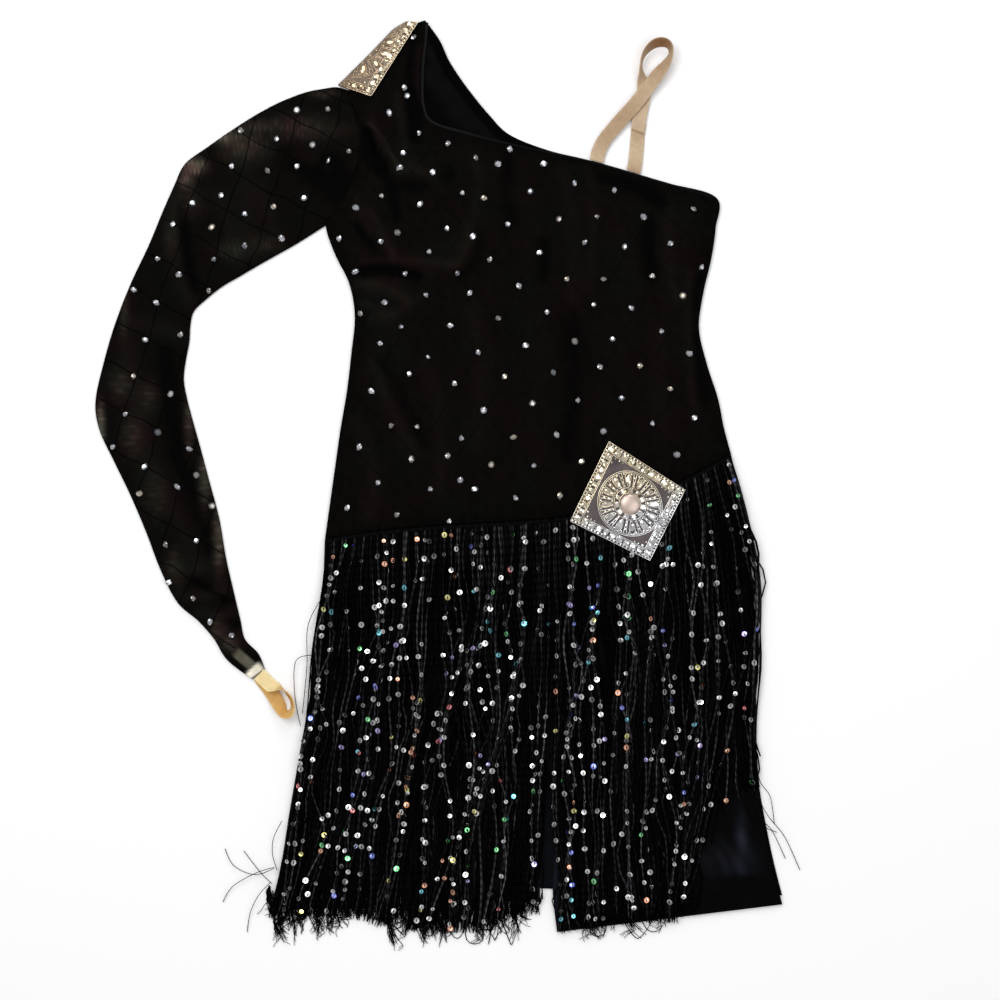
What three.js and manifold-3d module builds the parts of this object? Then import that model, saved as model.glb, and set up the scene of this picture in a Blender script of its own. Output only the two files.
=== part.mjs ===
// One-shoulder fringed dance dress, laid flat with its front up.
// Millimetres. +X runs across the dress, +Y from hem to shoulder, +Z up from the surface it lies on.
// The origin is at the middle of the dress's outline, on that surface.
import * as THREE from 'three';
import Module from 'manifold-3d';
import { mergeVertices } from 'three/addons/utils/BufferGeometryUtils.js';

const { lerp, smoothstep } = THREE.MathUtils;
const wasm = await Module();
wasm.setup();

// ---------------------------------------------------------------- driving dimensions

const CLOTH = 1.2;               // one layer of dress cloth
const SEAM = 0.3;                // gap between pieces that are sewn together
const FRONT_BASE = CLOTH + SEAM; // underside of the front, where it lies on the back
const FRONT_TOP = FRONT_BASE + CLOTH;
const HOLLOW = 3.6;              // widest gap between front and back under a fold
const EDGE_RISE = 18;            // distance over which folds rise from a seam
const BODICE_PUFF = 1.6;         // how far the bodice stands off its back between folds
const SKIRT_PUFF = 0.5;

const PLATE = 1.5;               // thickness of a rhinestone applique's base
const SHOULDER_LIFT = PLATE + SEAM;

const ELASTIC_WIDE = 12.7;
const ELASTIC = 1.2;
const FINGER_ELASTIC_WIDE = 8.5;

const STRAND_WIDE = 2.2;
const STRAND_HIGH = 1.4;
const STRAND_CLEAR = 0.5;        // from the skirt's surface to the lower layer of strands
const LAYER_STEP = 1.8;          // from the lower layer of strands to the upper one
const STRAND_SWAY = 1.1;         // how far a strand wanders sideways
const STRAND_UNEVEN = 0.04;      // how much strands differ in length
const TIP_SCALE = 0.5;           // a strand's width at its tip
const TIP_HIGH = 0.6;            // a strand's height at its tip
const HEM_OVERHANG = 1.5;        // how far the strands lie level beyond the underskirt's hem
const SHORTEST_TIP = 4;          // a strand that ends nearer to the hem than this ends on it
const TIP_FALL = 14;             // distance over which a tip falls from the hem to the surface
const HEADER_WIDE = 7;
const HEADER_HIGH = 3.4;
const HEADER_DROP = 2;           // the header's middle lies this far below the hip seam
const HEADER_BASE = FRONT_TOP + STRAND_CLEAR + 0.2;
const ROOT_SINK = 0.2;           // the lower strands start this far above the header's underside
const FLOOR_CLEAR = 0.4;         // strand tips stay this far above the surface
const HALF_LENGTH = 421.2;       // from the middle of the dress to its longest strand and its shoulder

// How finely each form is divided.
const BODICE_ROW_STEPS = 2;
const BODICE_COLUMNS = 26;
const BACK_COLUMNS = 6;
const SKIRT_ROWS = 12;
const SKIRT_COLUMNS = 12;
const SKIRT_BACK_ROWS = 8;
const FOLD_STEPS = 10;
const BAND_STEPS = 2;
const PLATE_STEPS = 12;
const HEADER_STEPS = 16;
const STRAND_STATIONS = 3;       // from the header to the hem, before the tip
const CLEARANCE_SAMPLES = 7;

// The hip seam: it runs from hip to hip and dips towards the right of its middle.
const HIP_LEFT = { x: -111, y: -47 };
const HIP_RIGHT = { x: 255, y: 30 };
const HIP_DIP = -26;
const DIP_SKEW = 1.7;

// ---------------------------------------------------------------- sections

// Bodice front from shoulder to hip seam: the left and right end of each section.
const bodiceFront = [
  { leftX: -38, leftY: 415, rightX: -18, rightY: 419, dip: 0 },
  { leftX: -53, leftY: 402, rightX: -19, rightY: 404, dip: 0 },
  { leftX: -67, leftY: 388, rightX: -21, rightY: 386, dip: 0 },
  { leftX: -80, leftY: 372, rightX: -22, rightY: 366, dip: 0 },
  { leftX: -89, leftY: 357, rightX: -21, rightY: 345, dip: 0 },
  { leftX: -83, leftY: 337, rightX: -13, rightY: 330, dip: 0 },
  { leftX: -79, leftY: 318, rightX: 18, rightY: 320, dip: 0 },
  { leftX: -81, leftY: 296, rightX: 66, rightY: 308, dip: 0 },
  { leftX: -90, leftY: 270, rightX: 130, rightY: 294, dip: 0 },
  { leftX: -101, leftY: 252, rightX: 192, rightY: 276, dip: 0 },
  { leftX: -110, leftY: 237, rightX: 241, rightY: 262, dip: 0 },
  { leftX: -102, leftY: 211, rightX: 241, rightY: 234, dip: 0 },
  { leftX: -89, leftY: 184, rightX: 237, rightY: 206, dip: 0 },
  { leftX: -84, leftY: 155, rightX: 230, rightY: 176, dip: 0 },
  { leftX: -87, leftY: 122, rightX: 226, rightY: 144, dip: 0 },
  { leftX: -91, leftY: 88, rightX: 233, rightY: 112, dip: -4 },
  { leftX: -97, leftY: 52, rightX: 243, rightY: 81, dip: -9 },
  { leftX: -103, leftY: 10, rightX: 248.5, rightY: 54, dip: -16 },
  { leftX: HIP_LEFT.x, leftY: HIP_LEFT.y, rightX: HIP_RIGHT.x, rightY: HIP_RIGHT.y, dip: HIP_DIP },
];
const ARMHOLE_TOP = 4;           // rows of bodiceFront between which the sleeve is set in
const ARMHOLE_END = 10;

// The back's neckline stands higher than the front's: its right ends, down to where they join.
const backNeckline = [
  { rightX: -20.7, rightY: HALF_LENGTH },
  { rightX: -7.5, rightY: 403 },
  { rightX: 0.5, rightY: 385.5 },
  { rightX: 10, rightY: 370.5 },
  { rightX: 20.5, rightY: 356 },
  { rightX: 37, rightY: 336 },
  { rightX: 55, rightY: 318.5 },
  { rightX: 88, rightY: 305 },
];

// Sleeve from armhole to wrist: its upper and lower edge as it lies, and how high it stands.
const sleeveSections = [
  { outerX: -90, outerY: 357, innerX: -111, innerY: 237, rise: 3.4 },
  { outerX: -119, outerY: 358.5, innerX: -122, innerY: 229, rise: 4.6 },
  { outerX: -146, outerY: 350, innerX: -138, innerY: 219, rise: 5.4 },
  { outerX: -170, outerY: 338, innerX: -154, innerY: 210, rise: 5.6 },
  { outerX: -194, outerY: 323, innerX: -170, innerY: 201, rise: 5.4 },
  { outerX: -217, outerY: 307, innerX: -187, innerY: 191, rise: 5.2 },
  { outerX: -237, outerY: 292, innerX: -204, innerY: 181, rise: 5.2 },
  { outerX: -247, outerY: 272, innerX: -219, innerY: 169, rise: 5.6 },
  { outerX: -258, outerY: 247, innerX: -229, innerY: 159, rise: 5.8 },
  { outerX: -270, outerY: 218, innerX: -232, innerY: 147, rise: 5.8 },
  { outerX: -286, outerY: 184, innerX: -233, innerY: 132, rise: 5.4 },
  { outerX: -300, outerY: 148, innerX: -236, innerY: 116, rise: 5 },
  { outerX: -310, outerY: 114, innerX: -238, innerY: 98, rise: 5 },
  { outerX: -317.7, outerY: 78, innerX: -235, innerY: 80, rise: 5 },
  { outerX: -314, outerY: 52, innerX: -230, innerY: 61, rise: 5.2 },
  { outerX: -301, outerY: 24, innerX: -223, innerY: 36, rise: 5 },
  { outerX: -286, outerY: -7, innerX: -215, innerY: 6, rise: 4.8 },
  { outerX: -272, outerY: -40, innerX: -206, innerY: -28, rise: 4.8 },
  { outerX: -259, outerY: -74, innerX: -200, innerY: -63, rise: 5.2 },
  { outerX: -244, outerY: -103, innerX: -192, innerY: -98, rise: 5.6 },
  { outerX: -225, outerY: -120, innerX: -187, innerY: -119, rise: 5.8 },
  { outerX: -211, outerY: -136, innerX: -183, innerY: -136, rise: 5.4 },
  { outerX: -199, outerY: -155, innerX: -171, innerY: -149, rise: 4.6 },
  { outerX: -181, outerY: -171, innerX: -165, innerY: -163, rise: 3.4 },
];

// The underskirt's side seams, slit edges and hem, from the hip seam down.
const skirtLeftSide = [
  { x: HIP_LEFT.x, y: HIP_LEFT.y },
  { x: -114, y: -110 },
  { x: -123, y: -180 },
  { x: -134, y: -245 },
  { x: -144, y: -305 },
  { x: -152, y: -362 },
];
const slitLeftEdge = [
  { x: 88, y: -32 },
  { x: 88, y: -110 },
  { x: 88, y: -180 },
  { x: 86, y: -245 },
  { x: 83, y: -305 },
  { x: 83, y: -373 },
];
const slitRightEdge = [
  { x: 88, y: -32 },
  { x: 88, y: -110 },
  { x: 88, y: -180 },
  { x: 87, y: -246 },
  { x: 96, y: -312 },
  { x: 94, y: -360 },
  { x: 98, y: -400 },
];
const skirtRightSide = [
  { x: HIP_RIGHT.x, y: HIP_RIGHT.y },
  { x: 269, y: -34 },
  { x: 275, y: -102 },
  { x: 276, y: -182 },
  { x: 279, y: -262 },
  { x: 290, y: -328 },
  { x: 301, y: -375 },
];
const BACK_HEM_RISE = 8;         // the back hem lies this much above the front hem

// ---------------------------------------------------------------- folds

// Each fold is a soft ridge along a curve from one point to another, bent towards a third.
const bodiceFolds = [
  { fromX: -72, fromY: 203, byX: -7, byY: 180, toX: 26, toY: 232, height: 3.8, width: 14 },
  { fromX: -74, fromY: 328, byX: -64, byY: 300, toX: -40, toY: 286, height: 3.9, width: 12 },
  { fromX: -70, fromY: 332, byX: -62, byY: 306, toX: -74, toY: 258, height: 2.2, width: 10 },
  { fromX: -28, fromY: 396, byX: -32, byY: 356, toX: -22, toY: 330, height: 2.6, width: 8 },
  { fromX: -84, fromY: 183, byX: -64, byY: 170, toX: -46, toY: 148, height: 2.6, width: 11 },
  { fromX: -80, fromY: 156, byX: -62, byY: 150, toX: -42, toY: 120, height: 1.6, width: 12 },
  { fromX: -66, fromY: 110, byX: -50, byY: 76, toX: -30, toY: 34, height: 2.2, width: 15 },
  { fromX: 80, fromY: 230, byX: 88, byY: 120, toX: 76, toY: 10, height: 1.5, width: 16 },
  { fromX: 158, fromY: 240, byX: 168, byY: 110, toX: 150, toY: 50, height: 1.4, width: 18 },
  { fromX: 216, fromY: 236, byX: 194, byY: 190, toX: 216, toY: 132, height: 1.6, width: 12 },
  { fromX: 14, fromY: 300, byX: 34, byY: 276, toX: 66, toY: 256, height: 1.8, width: 12 },
];
const sleeveFolds = [
  { fromX: -246, fromY: 262, byX: -250, byY: 220, toX: -233, toY: 170, height: 1.6, width: 9 },
  { fromX: -290, fromY: 150, byX: -262, byY: 146, toX: -240, toY: 136, height: 1.2, width: 8 },
  { fromX: -190, fromY: 318, byX: -180, byY: 270, toX: -178, toY: 214, height: 1, width: 12 },
  { fromX: -250, fromY: -72, byX: -226, byY: -78, toX: -204, toY: -66, height: 1.3, width: 7 },
  { fromX: -238, fromY: -98, byX: -214, byY: -100, toX: -196, toY: -88, height: 1.5, width: 6 },
  { fromX: -224, fromY: -112, byX: -206, byY: -118, toX: -190, toY: -110, height: 1.5, width: 5 },
  { fromX: -208, fromY: -132, byX: -198, byY: -138, toX: -186, toY: -132, height: 1.2, width: 5 },
];
const skirtFolds = [
  { fromX: -66, fromY: -150, byX: -74, byY: -240, toX: -86, toY: -336, height: 1.4, width: 15 },
  { fromX: 12, fromY: -150, byX: 10, byY: -240, toX: -2, toY: -344, height: 1.5, width: 17 },
  { fromX: 60, fromY: -150, byX: 56, byY: -240, toX: 48, toY: -340, height: 1.1, width: 14 },
  { fromX: 150, fromY: -170, byX: 152, byY: -260, toX: 150, toY: -360, height: 1.2, width: 17 },
  { fromX: 214, fromY: -170, byX: 216, byY: -260, toX: 214, toY: -352, height: 1, width: 14 },
  { fromX: 260, fromY: -216, byX: 258, byY: -290, toX: 276, toY: -345, height: 2.6, width: 8 },
];

// ---------------------------------------------------------------- trims

// Nude elastic: the middle of the band, the heading of its width and how far the width tips up.
const strapLong = [
  { x: 133.6, y: 294.2, z: 2.4, heading: -16, tilt: 0 },
  { x: 136, y: 304, z: 2.6, heading: -20, tilt: 0 },
  { x: 141, y: 313.5, z: 3, heading: -30, tilt: 0 },
  { x: 149, y: 323.5, z: 3.6, heading: -36, tilt: 0 },
  { x: 158.5, y: 334.5, z: 4.2, heading: -38, tilt: 0 },
  { x: 168.5, y: 345.5, z: 4.6, heading: -38, tilt: 0 },
  { x: 179, y: 359, z: 5, heading: -37, tilt: 8 },
  { x: 189.5, y: 373, z: 6, heading: -36, tilt: 28 },
  { x: 196.5, y: 382.5, z: 7.2, heading: -28, tilt: 52 },
  { x: 200.6, y: 391.5, z: 7.6, heading: -8, tilt: 74 },
  { x: 199.6, y: 398.5, z: 7.6, heading: 40, tilt: 70 },
  { x: 194.5, y: 402.2, z: 7.5, heading: 80, tilt: 60 },
  { x: 187.5, y: 401.2, z: 7.6, heading: 110, tilt: 58 },
  { x: 181, y: 396, z: 7.6, heading: 135, tilt: 66 },
  { x: 176.3, y: 388, z: 7.6, heading: 160, tilt: 76 },
  { x: 174.6, y: 379, z: 7.2, heading: 180, tilt: 78 },
  { x: 175.2, y: 371, z: 6, heading: 184, tilt: 56 },
  { x: 176.6, y: 363.5, z: 3.2, heading: 182, tilt: 20 },
  { x: 176.6, y: 355.5, z: 2.4, heading: 178, tilt: 0 },
  { x: 174.6, y: 345.5, z: 2.4, heading: 172, tilt: 0 },
  { x: 172.4, y: 334.5, z: 2.4, heading: 166, tilt: 0 },
  { x: 171, y: 321, z: 2.4, heading: 160, tilt: 0 },
];
const strapShort = [
  { x: 166.8, y: 284.7, z: 2.4, heading: -18, tilt: 0 },
  { x: 168.4, y: 292, z: 2, heading: -14, tilt: 0 },
  { x: 169.6, y: 302, z: 1.2, heading: -6, tilt: 0 },
  { x: 170.4, y: 311, z: 0.9, heading: -6, tilt: 0 },
  { x: 171, y: 319, z: 0.9, heading: -16, tilt: 0 },
  { x: 172.4, y: 329, z: 0.9, heading: -14, tilt: 0 },
];
const fingerLoop = [
  { x: -173.4, y: -168, z: 1.2, heading: 30, tilt: 0 },
  { x: -167, y: -176, z: 1.4, heading: 32, tilt: 6 },
  { x: -160.5, y: -186, z: 2.4, heading: 32, tilt: 16 },
  { x: -155, y: -195.5, z: 3.6, heading: 34, tilt: 32 },
  { x: -149.8, y: -202, z: 4.4, heading: 48, tilt: 50 },
  { x: -145, y: -204.6, z: 4.8, heading: 80, tilt: 66 },
  { x: -141, y: -202, z: 4.8, heading: 135, tilt: 72 },
  { x: -140.4, y: -195, z: 4.8, heading: 180, tilt: 70 },
  { x: -143.4, y: -187, z: 4.8, heading: 205, tilt: 66 },
  { x: -150, y: -178.6, z: 4.8, heading: 218, tilt: 62 },
  { x: -160.6, y: -169.4, z: 5, heading: 226, tilt: 62 },
];

// Hip applique: a square plate, and its relief as rings about the middle. reach is the ring's half
// width, square runs from round to square, lift is the height over the plate, petal its waviness.
const hipCorners = {
  top: { x: 144.7, y: 41.7 },
  right: { x: 212.9, y: -1.8 },
  bottom: { x: 181.3, y: -65.1 },
  left: { x: 110, y: -29.7 },
};
const HIP_APPLIQUE_BASE = 7.9;
const rosetteRings = [
  { reach: 0.1, square: 0, lift: 2.6, petal: 0 },
  { reach: 0.2, square: 0, lift: 1.8, petal: 0 },
  { reach: 0.25, square: 0, lift: 0.5, petal: 0 },
  { reach: 0.36, square: 0, lift: 1.3, petal: 0.5 },
  { reach: 0.58, square: 0, lift: 1.5, petal: 0.7 },
  { reach: 0.64, square: 0.05, lift: 0.2, petal: 0 },
  { reach: 0.76, square: 0.8, lift: 0.2, petal: 0 },
  { reach: 0.81, square: 1, lift: 1.2, petal: 0 },
  { reach: 0.94, square: 1, lift: 1.4, petal: 0 },
  { reach: 1, square: 1, lift: 0, petal: 0 },
];
const ROSETTE_SPOKES = 40;
const PETALS = 20;

// Shoulder applique: a plate folded over the shoulder edge. across runs from the inner edge (0)
// to the fold (1) and back under the dress; up is the height of the plate's middle.
const foldedPlate = [
  { across: 0, up: 8.6, relief: 0 },
  { across: 0.06, up: 8.5, relief: 1.2 },
  { across: 0.2, up: 8.2, relief: 1.3 },
  { across: 0.26, up: 8, relief: 0.2 },
  { across: 0.45, up: 7.6, relief: 1.2 },
  { across: 0.62, up: 7, relief: 0.4 },
  { across: 0.8, up: 6.2, relief: 1 },
  { across: 0.94, up: 4.9, relief: 0.8 },
  { across: 1, up: 3, relief: 0.5 },
  { across: 0.95, up: 1.2, relief: 0 },
  { across: 0.86, up: 0.75, relief: 0 },
  { across: 0.15, up: 0.75, relief: 0 },
];
const shoulderFoldLine = [
  { x: -99.4, y: 362.7 },
  { x: -86.6, y: 375.3 },
  { x: -73, y: 388.8 },
  { x: -60.6, y: 401.6 },
  { x: -49.4, y: 413 },
  { x: -38.4, y: 419.4 },
];
const shoulderInnerEdge = [
  { x: -69, y: 352 },
  { x: -60.6, y: 365.3 },
  { x: -52.2, y: 378.6 },
  { x: -43.8, y: 391.9 },
  { x: -35.4, y: 405.2 },
  { x: -27, y: 418 },
];

// Fringe: where each header starts and ends along the hip seam (0 left, 1 right), the strands on it,
// where its outermost strands end, how long they are, and how far the outer ones bow to the right.
const fringes = {
  left: {
    from: 0.004,
    to: 0.555,
    strands: 84,
    endLeftX: -165,
    endRightX: 80,
    leftLong: 350,
    rightLong: 358,
    bulge: 4,
  },
  right: {
    from: 0.562,
    to: 0.998,
    strands: 64,
    endLeftX: 101,
    endRightX: 281,
    leftLong: 376,
    rightLong: 336,
    bulge: 12,
  },
};
const LONGEST_STRAND = { side: fringes.left, number: 47 };
// Loose outer strands: three points that each passes after it leaves the skirt.
const looseLeft = [
  { ax: -158, ay: -330, bx: -184, by: -347, cx: -200.7, cy: -325 },
  { ax: -160, ay: -342, bx: -190, by: -362, cx: -203.4, cy: -373.5 },
  { ax: -159, ay: -352, bx: -172, by: -378, cx: -181, cy: -399.6 },
];
const looseRight = [
  { ax: 274, ay: -292, bx: 296, by: -316, cx: 317.25, cy: -345 },
  { ax: 281, ay: -250, bx: 291, by: -284, cx: 294, cy: -303 },
];

// ---------------------------------------------------------------- geometry

// A closed mesh from points and triangles, turned so that its faces point out.
function closedGeometry(points, faces) {
  let volume = 0;
  const cross = new THREE.Vector3();
  for (const [a, b, c] of faces) {
    cross.crossVectors(points[b], points[c]);
    volume += points[a].dot(cross);
  }
  const indices = faces.flatMap(([a, b, c]) => (volume > 0 ? [a, b, c] : [a, c, b]));
  const geometry = new THREE.BufferGeometry();
  geometry.setAttribute('position', new THREE.Float32BufferAttribute(points.flatMap((p) => p.toArray()), 3));
  geometry.setIndex(indices);
  return geometry;
}

// Rows of a table with smooth rows (Catmull-Rom, column by column) between them.
function smoothRows(table, steps) {
  const names = Object.keys(table[0]);
  const last = table.length - 1;
  const rows = [];
  for (let span = 0; span < last; span++) {
    const around = [span - 1, span, span + 1, span + 2].map((k) => table[Math.min(last, Math.max(0, k))]);
    for (let step = 0; step < steps; step++) {
      const t = step / steps;
      rows.push(Object.fromEntries(names.map((name) => {
        const [a, b, c, d] = around.map((row) => row[name]);
        const slope = (c - a) / 2;
        const endSlope = (d - b) / 2;
        const square = t * t * (3 * (c - b) - 2 * slope - endSlope);
        const cube = t * t * t * (2 * (b - c) + slope + endSlope);
        return [name, b + t * slope + square + cube];
      })));
    }
  }
  rows.push({ ...table[last] });
  return rows;
}

// A point at a fraction of a table's smooth curve.
function onCurve(table, fraction) {
  const place = fraction * (table.length - 1);
  const span = Math.min(table.length - 2, Math.floor(place));
  const t = place - span;
  const around = [span - 1, span, span + 1, span + 2];
  const [a, b, c, d] = around.map((k) => table[Math.min(table.length - 1, Math.max(0, k))]);
  const blend = (name) => {
    const slope = (c[name] - a[name]) / 2;
    const endSlope = (d[name] - b[name]) / 2;
    const square = t * t * (3 * (c[name] - b[name]) - 2 * slope - endSlope);
    return b[name] + t * slope + square + t * t * t * (2 * (b[name] - c[name]) + slope + endSlope);
  };
  return { x: blend('x'), y: blend('y') };
}

// Shortest distance in plan from a point to a path of points.
function distanceToPath(path, x, y) {
  let nearest = Infinity;
  for (let k = 0; k < path.length - 1; k++) {
    const [a, b] = [path[k], path[k + 1]];
    const length2 = (b.x - a.x) ** 2 + (b.y - a.y) ** 2;
    const along = length2 > 0 ? ((x - a.x) * (b.x - a.x) + (y - a.y) * (b.y - a.y)) / length2 : 0;
    const t = Math.min(1, Math.max(0, along));
    nearest = Math.min(nearest, Math.hypot(x - lerp(a.x, b.x, t), y - lerp(a.y, b.y, t)));
  }
  return nearest;
}

// Height that a table of folds adds at a point: each is a bell-shaped ridge along its curve.
function foldField(folds) {
  const ridges = folds.map((fold) => {
    const from = new THREE.Vector2(fold.fromX, fold.fromY);
    const by = new THREE.Vector2(fold.byX, fold.byY);
    const to = new THREE.Vector2(fold.toX, fold.toY);
    return { ...fold, path: new THREE.QuadraticBezierCurve(from, by, to).getPoints(FOLD_STEPS) };
  });
  return (x, y) => ridges.reduce((sum, ridge) => {
    const away = distanceToPath(ridge.path, x, y) / ridge.width;
    return sum + ridge.height * Math.exp(-away * away);
  }, 0);
}

// A closed wall between two grids of points, the upper one and the lower one.
function wallBetween(upper, lower) {
  const rows = upper.length;
  const columns = upper[0].length;
  const points = [...upper.flat(), ...lower.flat()];
  const half = rows * columns;
  const at = (row, column) => row * columns + column;
  const faces = [];
  for (let row = 0; row < rows - 1; row++) {
    for (let column = 0; column < columns - 1; column++) {
      const [a, b] = [at(row, column), at(row, column + 1)];
      const [c, d] = [at(row + 1, column), at(row + 1, column + 1)];
      faces.push([a, c, b], [b, c, d]);
      faces.push([half + a, half + b, half + c], [half + b, half + d, half + c]);
    }
  }
  const rim = [];
  for (let row = 0; row < rows - 1; row++) rim.push(at(row, 0));
  for (let column = 0; column < columns - 1; column++) rim.push(at(rows - 1, column));
  for (let row = rows - 1; row > 0; row--) rim.push(at(row, columns - 1));
  for (let column = columns - 1; column > 0; column--) rim.push(at(0, column));
  rim.forEach((a, k) => {
    const b = rim[(k + 1) % rim.length];
    faces.push([b, a, half + a], [b, half + a, half + b]);
  });
  return closedGeometry(points, faces);
}

// A solid through rings of points, each ring joined to the next and the ends capped.
function loft(rings) {
  const size = rings[0].length;
  const faces = [];
  for (let ring = 0; ring < rings.length - 1; ring++) {
    for (let k = 0; k < size; k++) {
      const [a, b] = [ring * size + k, ring * size + ((k + 1) % size)];
      faces.push([a, b, a + size], [b, b + size, a + size]);
    }
  }
  const end = (rings.length - 1) * size;
  for (let k = 1; k < size - 1; k++) {
    faces.push([0, k + 1, k], [end, end + k, end + k + 1]);
  }
  return closedGeometry(rings.flat(), faces);
}

// ---------------------------------------------------------------- panels

// The back and the front are raised at the shoulder, where the folded applique lies under them.
const shoulderLift = (x, y) => SHOULDER_LIFT * smoothstep(y, 306, 344);

// The point at a fraction across a section; a section with a dip hangs below its straight line.
function onSection(row, fraction) {
  const dip = row.dip * Math.sin(Math.PI * fraction ** DIP_SKEW);
  return { x: lerp(row.leftX, row.rightX, fraction), y: lerp(row.leftY, row.rightY, fraction) + dip };
}

function sectionGrid(rows, columns) {
  return rows.map((row) => Array.from({ length: columns + 1 }, (_, k) => onSection(row, k / columns)));
}

function outlineOf(grid) {
  const last = grid.length - 1;
  const right = grid[0].length - 1;
  const down = grid.map((row) => row[0]);
  const up = grid.map((row) => row[right]).reverse();
  return [...down, ...grid[last].slice(1, right), ...up, ...grid[0].slice(0, right).reverse()];
}

// Top surface of a panel that lies on another: flat at its seams, puffed and folded between them.
function clothTop(grid, puff, folds) {
  const outline = outlineOf(grid);
  const field = foldField(folds);
  return (x, y) => {
    const fade = smoothstep(distanceToPath(outline, x, y), 0, EDGE_RISE);
    return FRONT_TOP + shoulderLift(x, y) + fade * (puff + field(x, y));
  };
}

function frontPanel(grid, top) {
  const upper = grid.map((row) => row.map(({ x, y }) => new THREE.Vector3(x, y, top(x, y))));
  const lower = grid.map((row) => row.map(({ x, y }) => {
    const highest = CLOTH + shoulderLift(x, y) + HOLLOW;
    return new THREE.Vector3(x, y, Math.min(top(x, y) - CLOTH, highest));
  }));
  return wallBetween(upper, lower);
}

function backPanel(grid) {
  const surface = (height) => grid.map((row) => row.map(({ x, y }) =>
    new THREE.Vector3(x, y, shoulderLift(x, y) + height)));
  return wallBetween(surface(CLOTH), surface(0));
}

const bodiceRows = smoothRows(bodiceFront, BODICE_ROW_STEPS);
const bodiceGrid = sectionGrid(bodiceRows, BODICE_COLUMNS);
const bodiceTop = clothTop(bodiceGrid, BODICE_PUFF, bodiceFolds);

const bodiceBackRows = bodiceFront.map((row, k) => ({ ...row, ...backNeckline[k] }));
const bodiceBackGrid = sectionGrid(smoothRows(bodiceBackRows, BODICE_ROW_STEPS), BACK_COLUMNS);

// The hip seam itself, at a fraction from left to right.
const hipSeam = (fraction) => onSection(bodiceFront[bodiceFront.length - 1], fraction);
const hipFraction = (x) => (x - HIP_LEFT.x) / (HIP_RIGHT.x - HIP_LEFT.x);

// A skirt panel between two edges, hung from the hip seam: its rows level out towards the hem.
function skirtGrid(leftEdge, rightEdge, rows, columns) {
  return Array.from({ length: rows + 1 }, (_, row) => {
    const down = row / rows;
    const left = onCurve(leftEdge, down);
    const right = onCurve(rightEdge, down);
    return Array.from({ length: columns + 1 }, (_unused, column) => {
      const across = column / columns;
      const x = lerp(left.x, right.x, across);
      const level = lerp(left.y, right.y, across);
      const seamX = lerp(leftEdge[0].x, rightEdge[0].x, across);
      const seamY = hipSeam(hipFraction(seamX)).y - SEAM;
      const straight = lerp(leftEdge[0].y, rightEdge[0].y, across);
      return { x, y: level + (seamY - straight) * (1 - down) ** 2 };
    });
  });
}

const shifted = (edge, dx) => edge.map(({ x, y }) => ({ x: x + dx, y }));
const skirtLeftGrid = skirtGrid(skirtLeftSide, shifted(slitLeftEdge, -SEAM / 2), SKIRT_ROWS, SKIRT_COLUMNS);
const skirtRightGrid = skirtGrid(shifted(slitRightEdge, SEAM / 2), skirtRightSide, SKIRT_ROWS, SKIRT_COLUMNS);
const skirtLeftTop = clothTop(skirtLeftGrid, SKIRT_PUFF, skirtFolds);
const skirtRightTop = clothTop(skirtRightGrid, SKIRT_PUFF, skirtFolds);
const raisedHem = (edge) => edge.map(({ x, y }, k) => ({ x, y: y + BACK_HEM_RISE * k / (edge.length - 1) }));
const skirtBackEdges = [raisedHem(skirtLeftSide), raisedHem(skirtRightSide)];
const skirtBackGrid = skirtGrid(...skirtBackEdges, SKIRT_BACK_ROWS, BACK_COLUMNS);

// ---------------------------------------------------------------- sleeve

// Points across the sleeve's upper side and its flat underside: as many as the armhole's sections.
const SLEEVE_STEPS = (ARMHOLE_END - ARMHOLE_TOP) * BODICE_ROW_STEPS;
const SLEEVE_EDGE = 2.9;         // height of the sleeve's folded edges

function sleeveWall() {
  const field = foldField(sleeveFolds);
  const armhole = bodiceRows.slice(ARMHOLE_TOP * BODICE_ROW_STEPS, ARMHOLE_END * BODICE_ROW_STEPS + 1)
    .map(({ leftX, leftY }) => ({ x: leftX - SEAM * 2, y: leftY }));
  const ring = (station, index, inset) => {
    const wide = Math.hypot(station.outerX - station.innerX, station.outerY - station.innerY);
    const place = (fraction) => {
      const v = lerp(inset / wide, 1 - inset / wide, fraction);
      if (index === 0) return onCurve(armhole, v);
      return { x: lerp(station.outerX, station.innerX, v), y: lerp(station.outerY, station.innerY, v) };
    };
    const over = Array.from({ length: SLEEVE_STEPS + 1 }, (_, k) => {
      const { x, y } = place(k / SLEEVE_STEPS);
      const swell = Math.sin(Math.PI * k / SLEEVE_STEPS) ** 0.6;
      const top = SLEEVE_EDGE + swell * (station.rise - SLEEVE_EDGE + field(x, y));
      const height = inset > 0 ? Math.min(top - CLOTH, CLOTH + HOLLOW) : top;
      return new THREE.Vector3(x, y, height);
    });
    const under = Array.from({ length: SLEEVE_STEPS + 1 }, (_, k) => {
      const { x, y } = place(1 - k / SLEEVE_STEPS);
      return new THREE.Vector3(x, y, inset > 0 ? CLOTH : 0);
    });
    return [...over, ...under];
  };
  const outer = sleeveSections.map((station, index) => ring(station, index, 0));
  const inner = sleeveSections.map((station, index) => ring(station, index, CLOTH));
  const size = outer[0].length;
  const half = outer.length * size;
  const faces = [];
  for (let k = 0; k < size; k++) {
    const next = (k + 1) % size;
    for (let row = 0; row < outer.length - 1; row++) {
      const [a, b, c, d] = [row * size + k, row * size + next, (row + 1) * size + k, (row + 1) * size + next];
      faces.push([a, b, c], [b, d, c], [half + a, half + c, half + b], [half + b, half + c, half + d]);
    }
    const end = (outer.length - 1) * size;
    faces.push([k, half + k, next], [next, half + k, half + next]);
    faces.push([end + k, end + next, half + end + k], [end + next, half + end + next, half + end + k]);
  }
  return closedGeometry([...outer.flat(), ...inner.flat()], faces);
}

// ---------------------------------------------------------------- elastics

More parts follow.
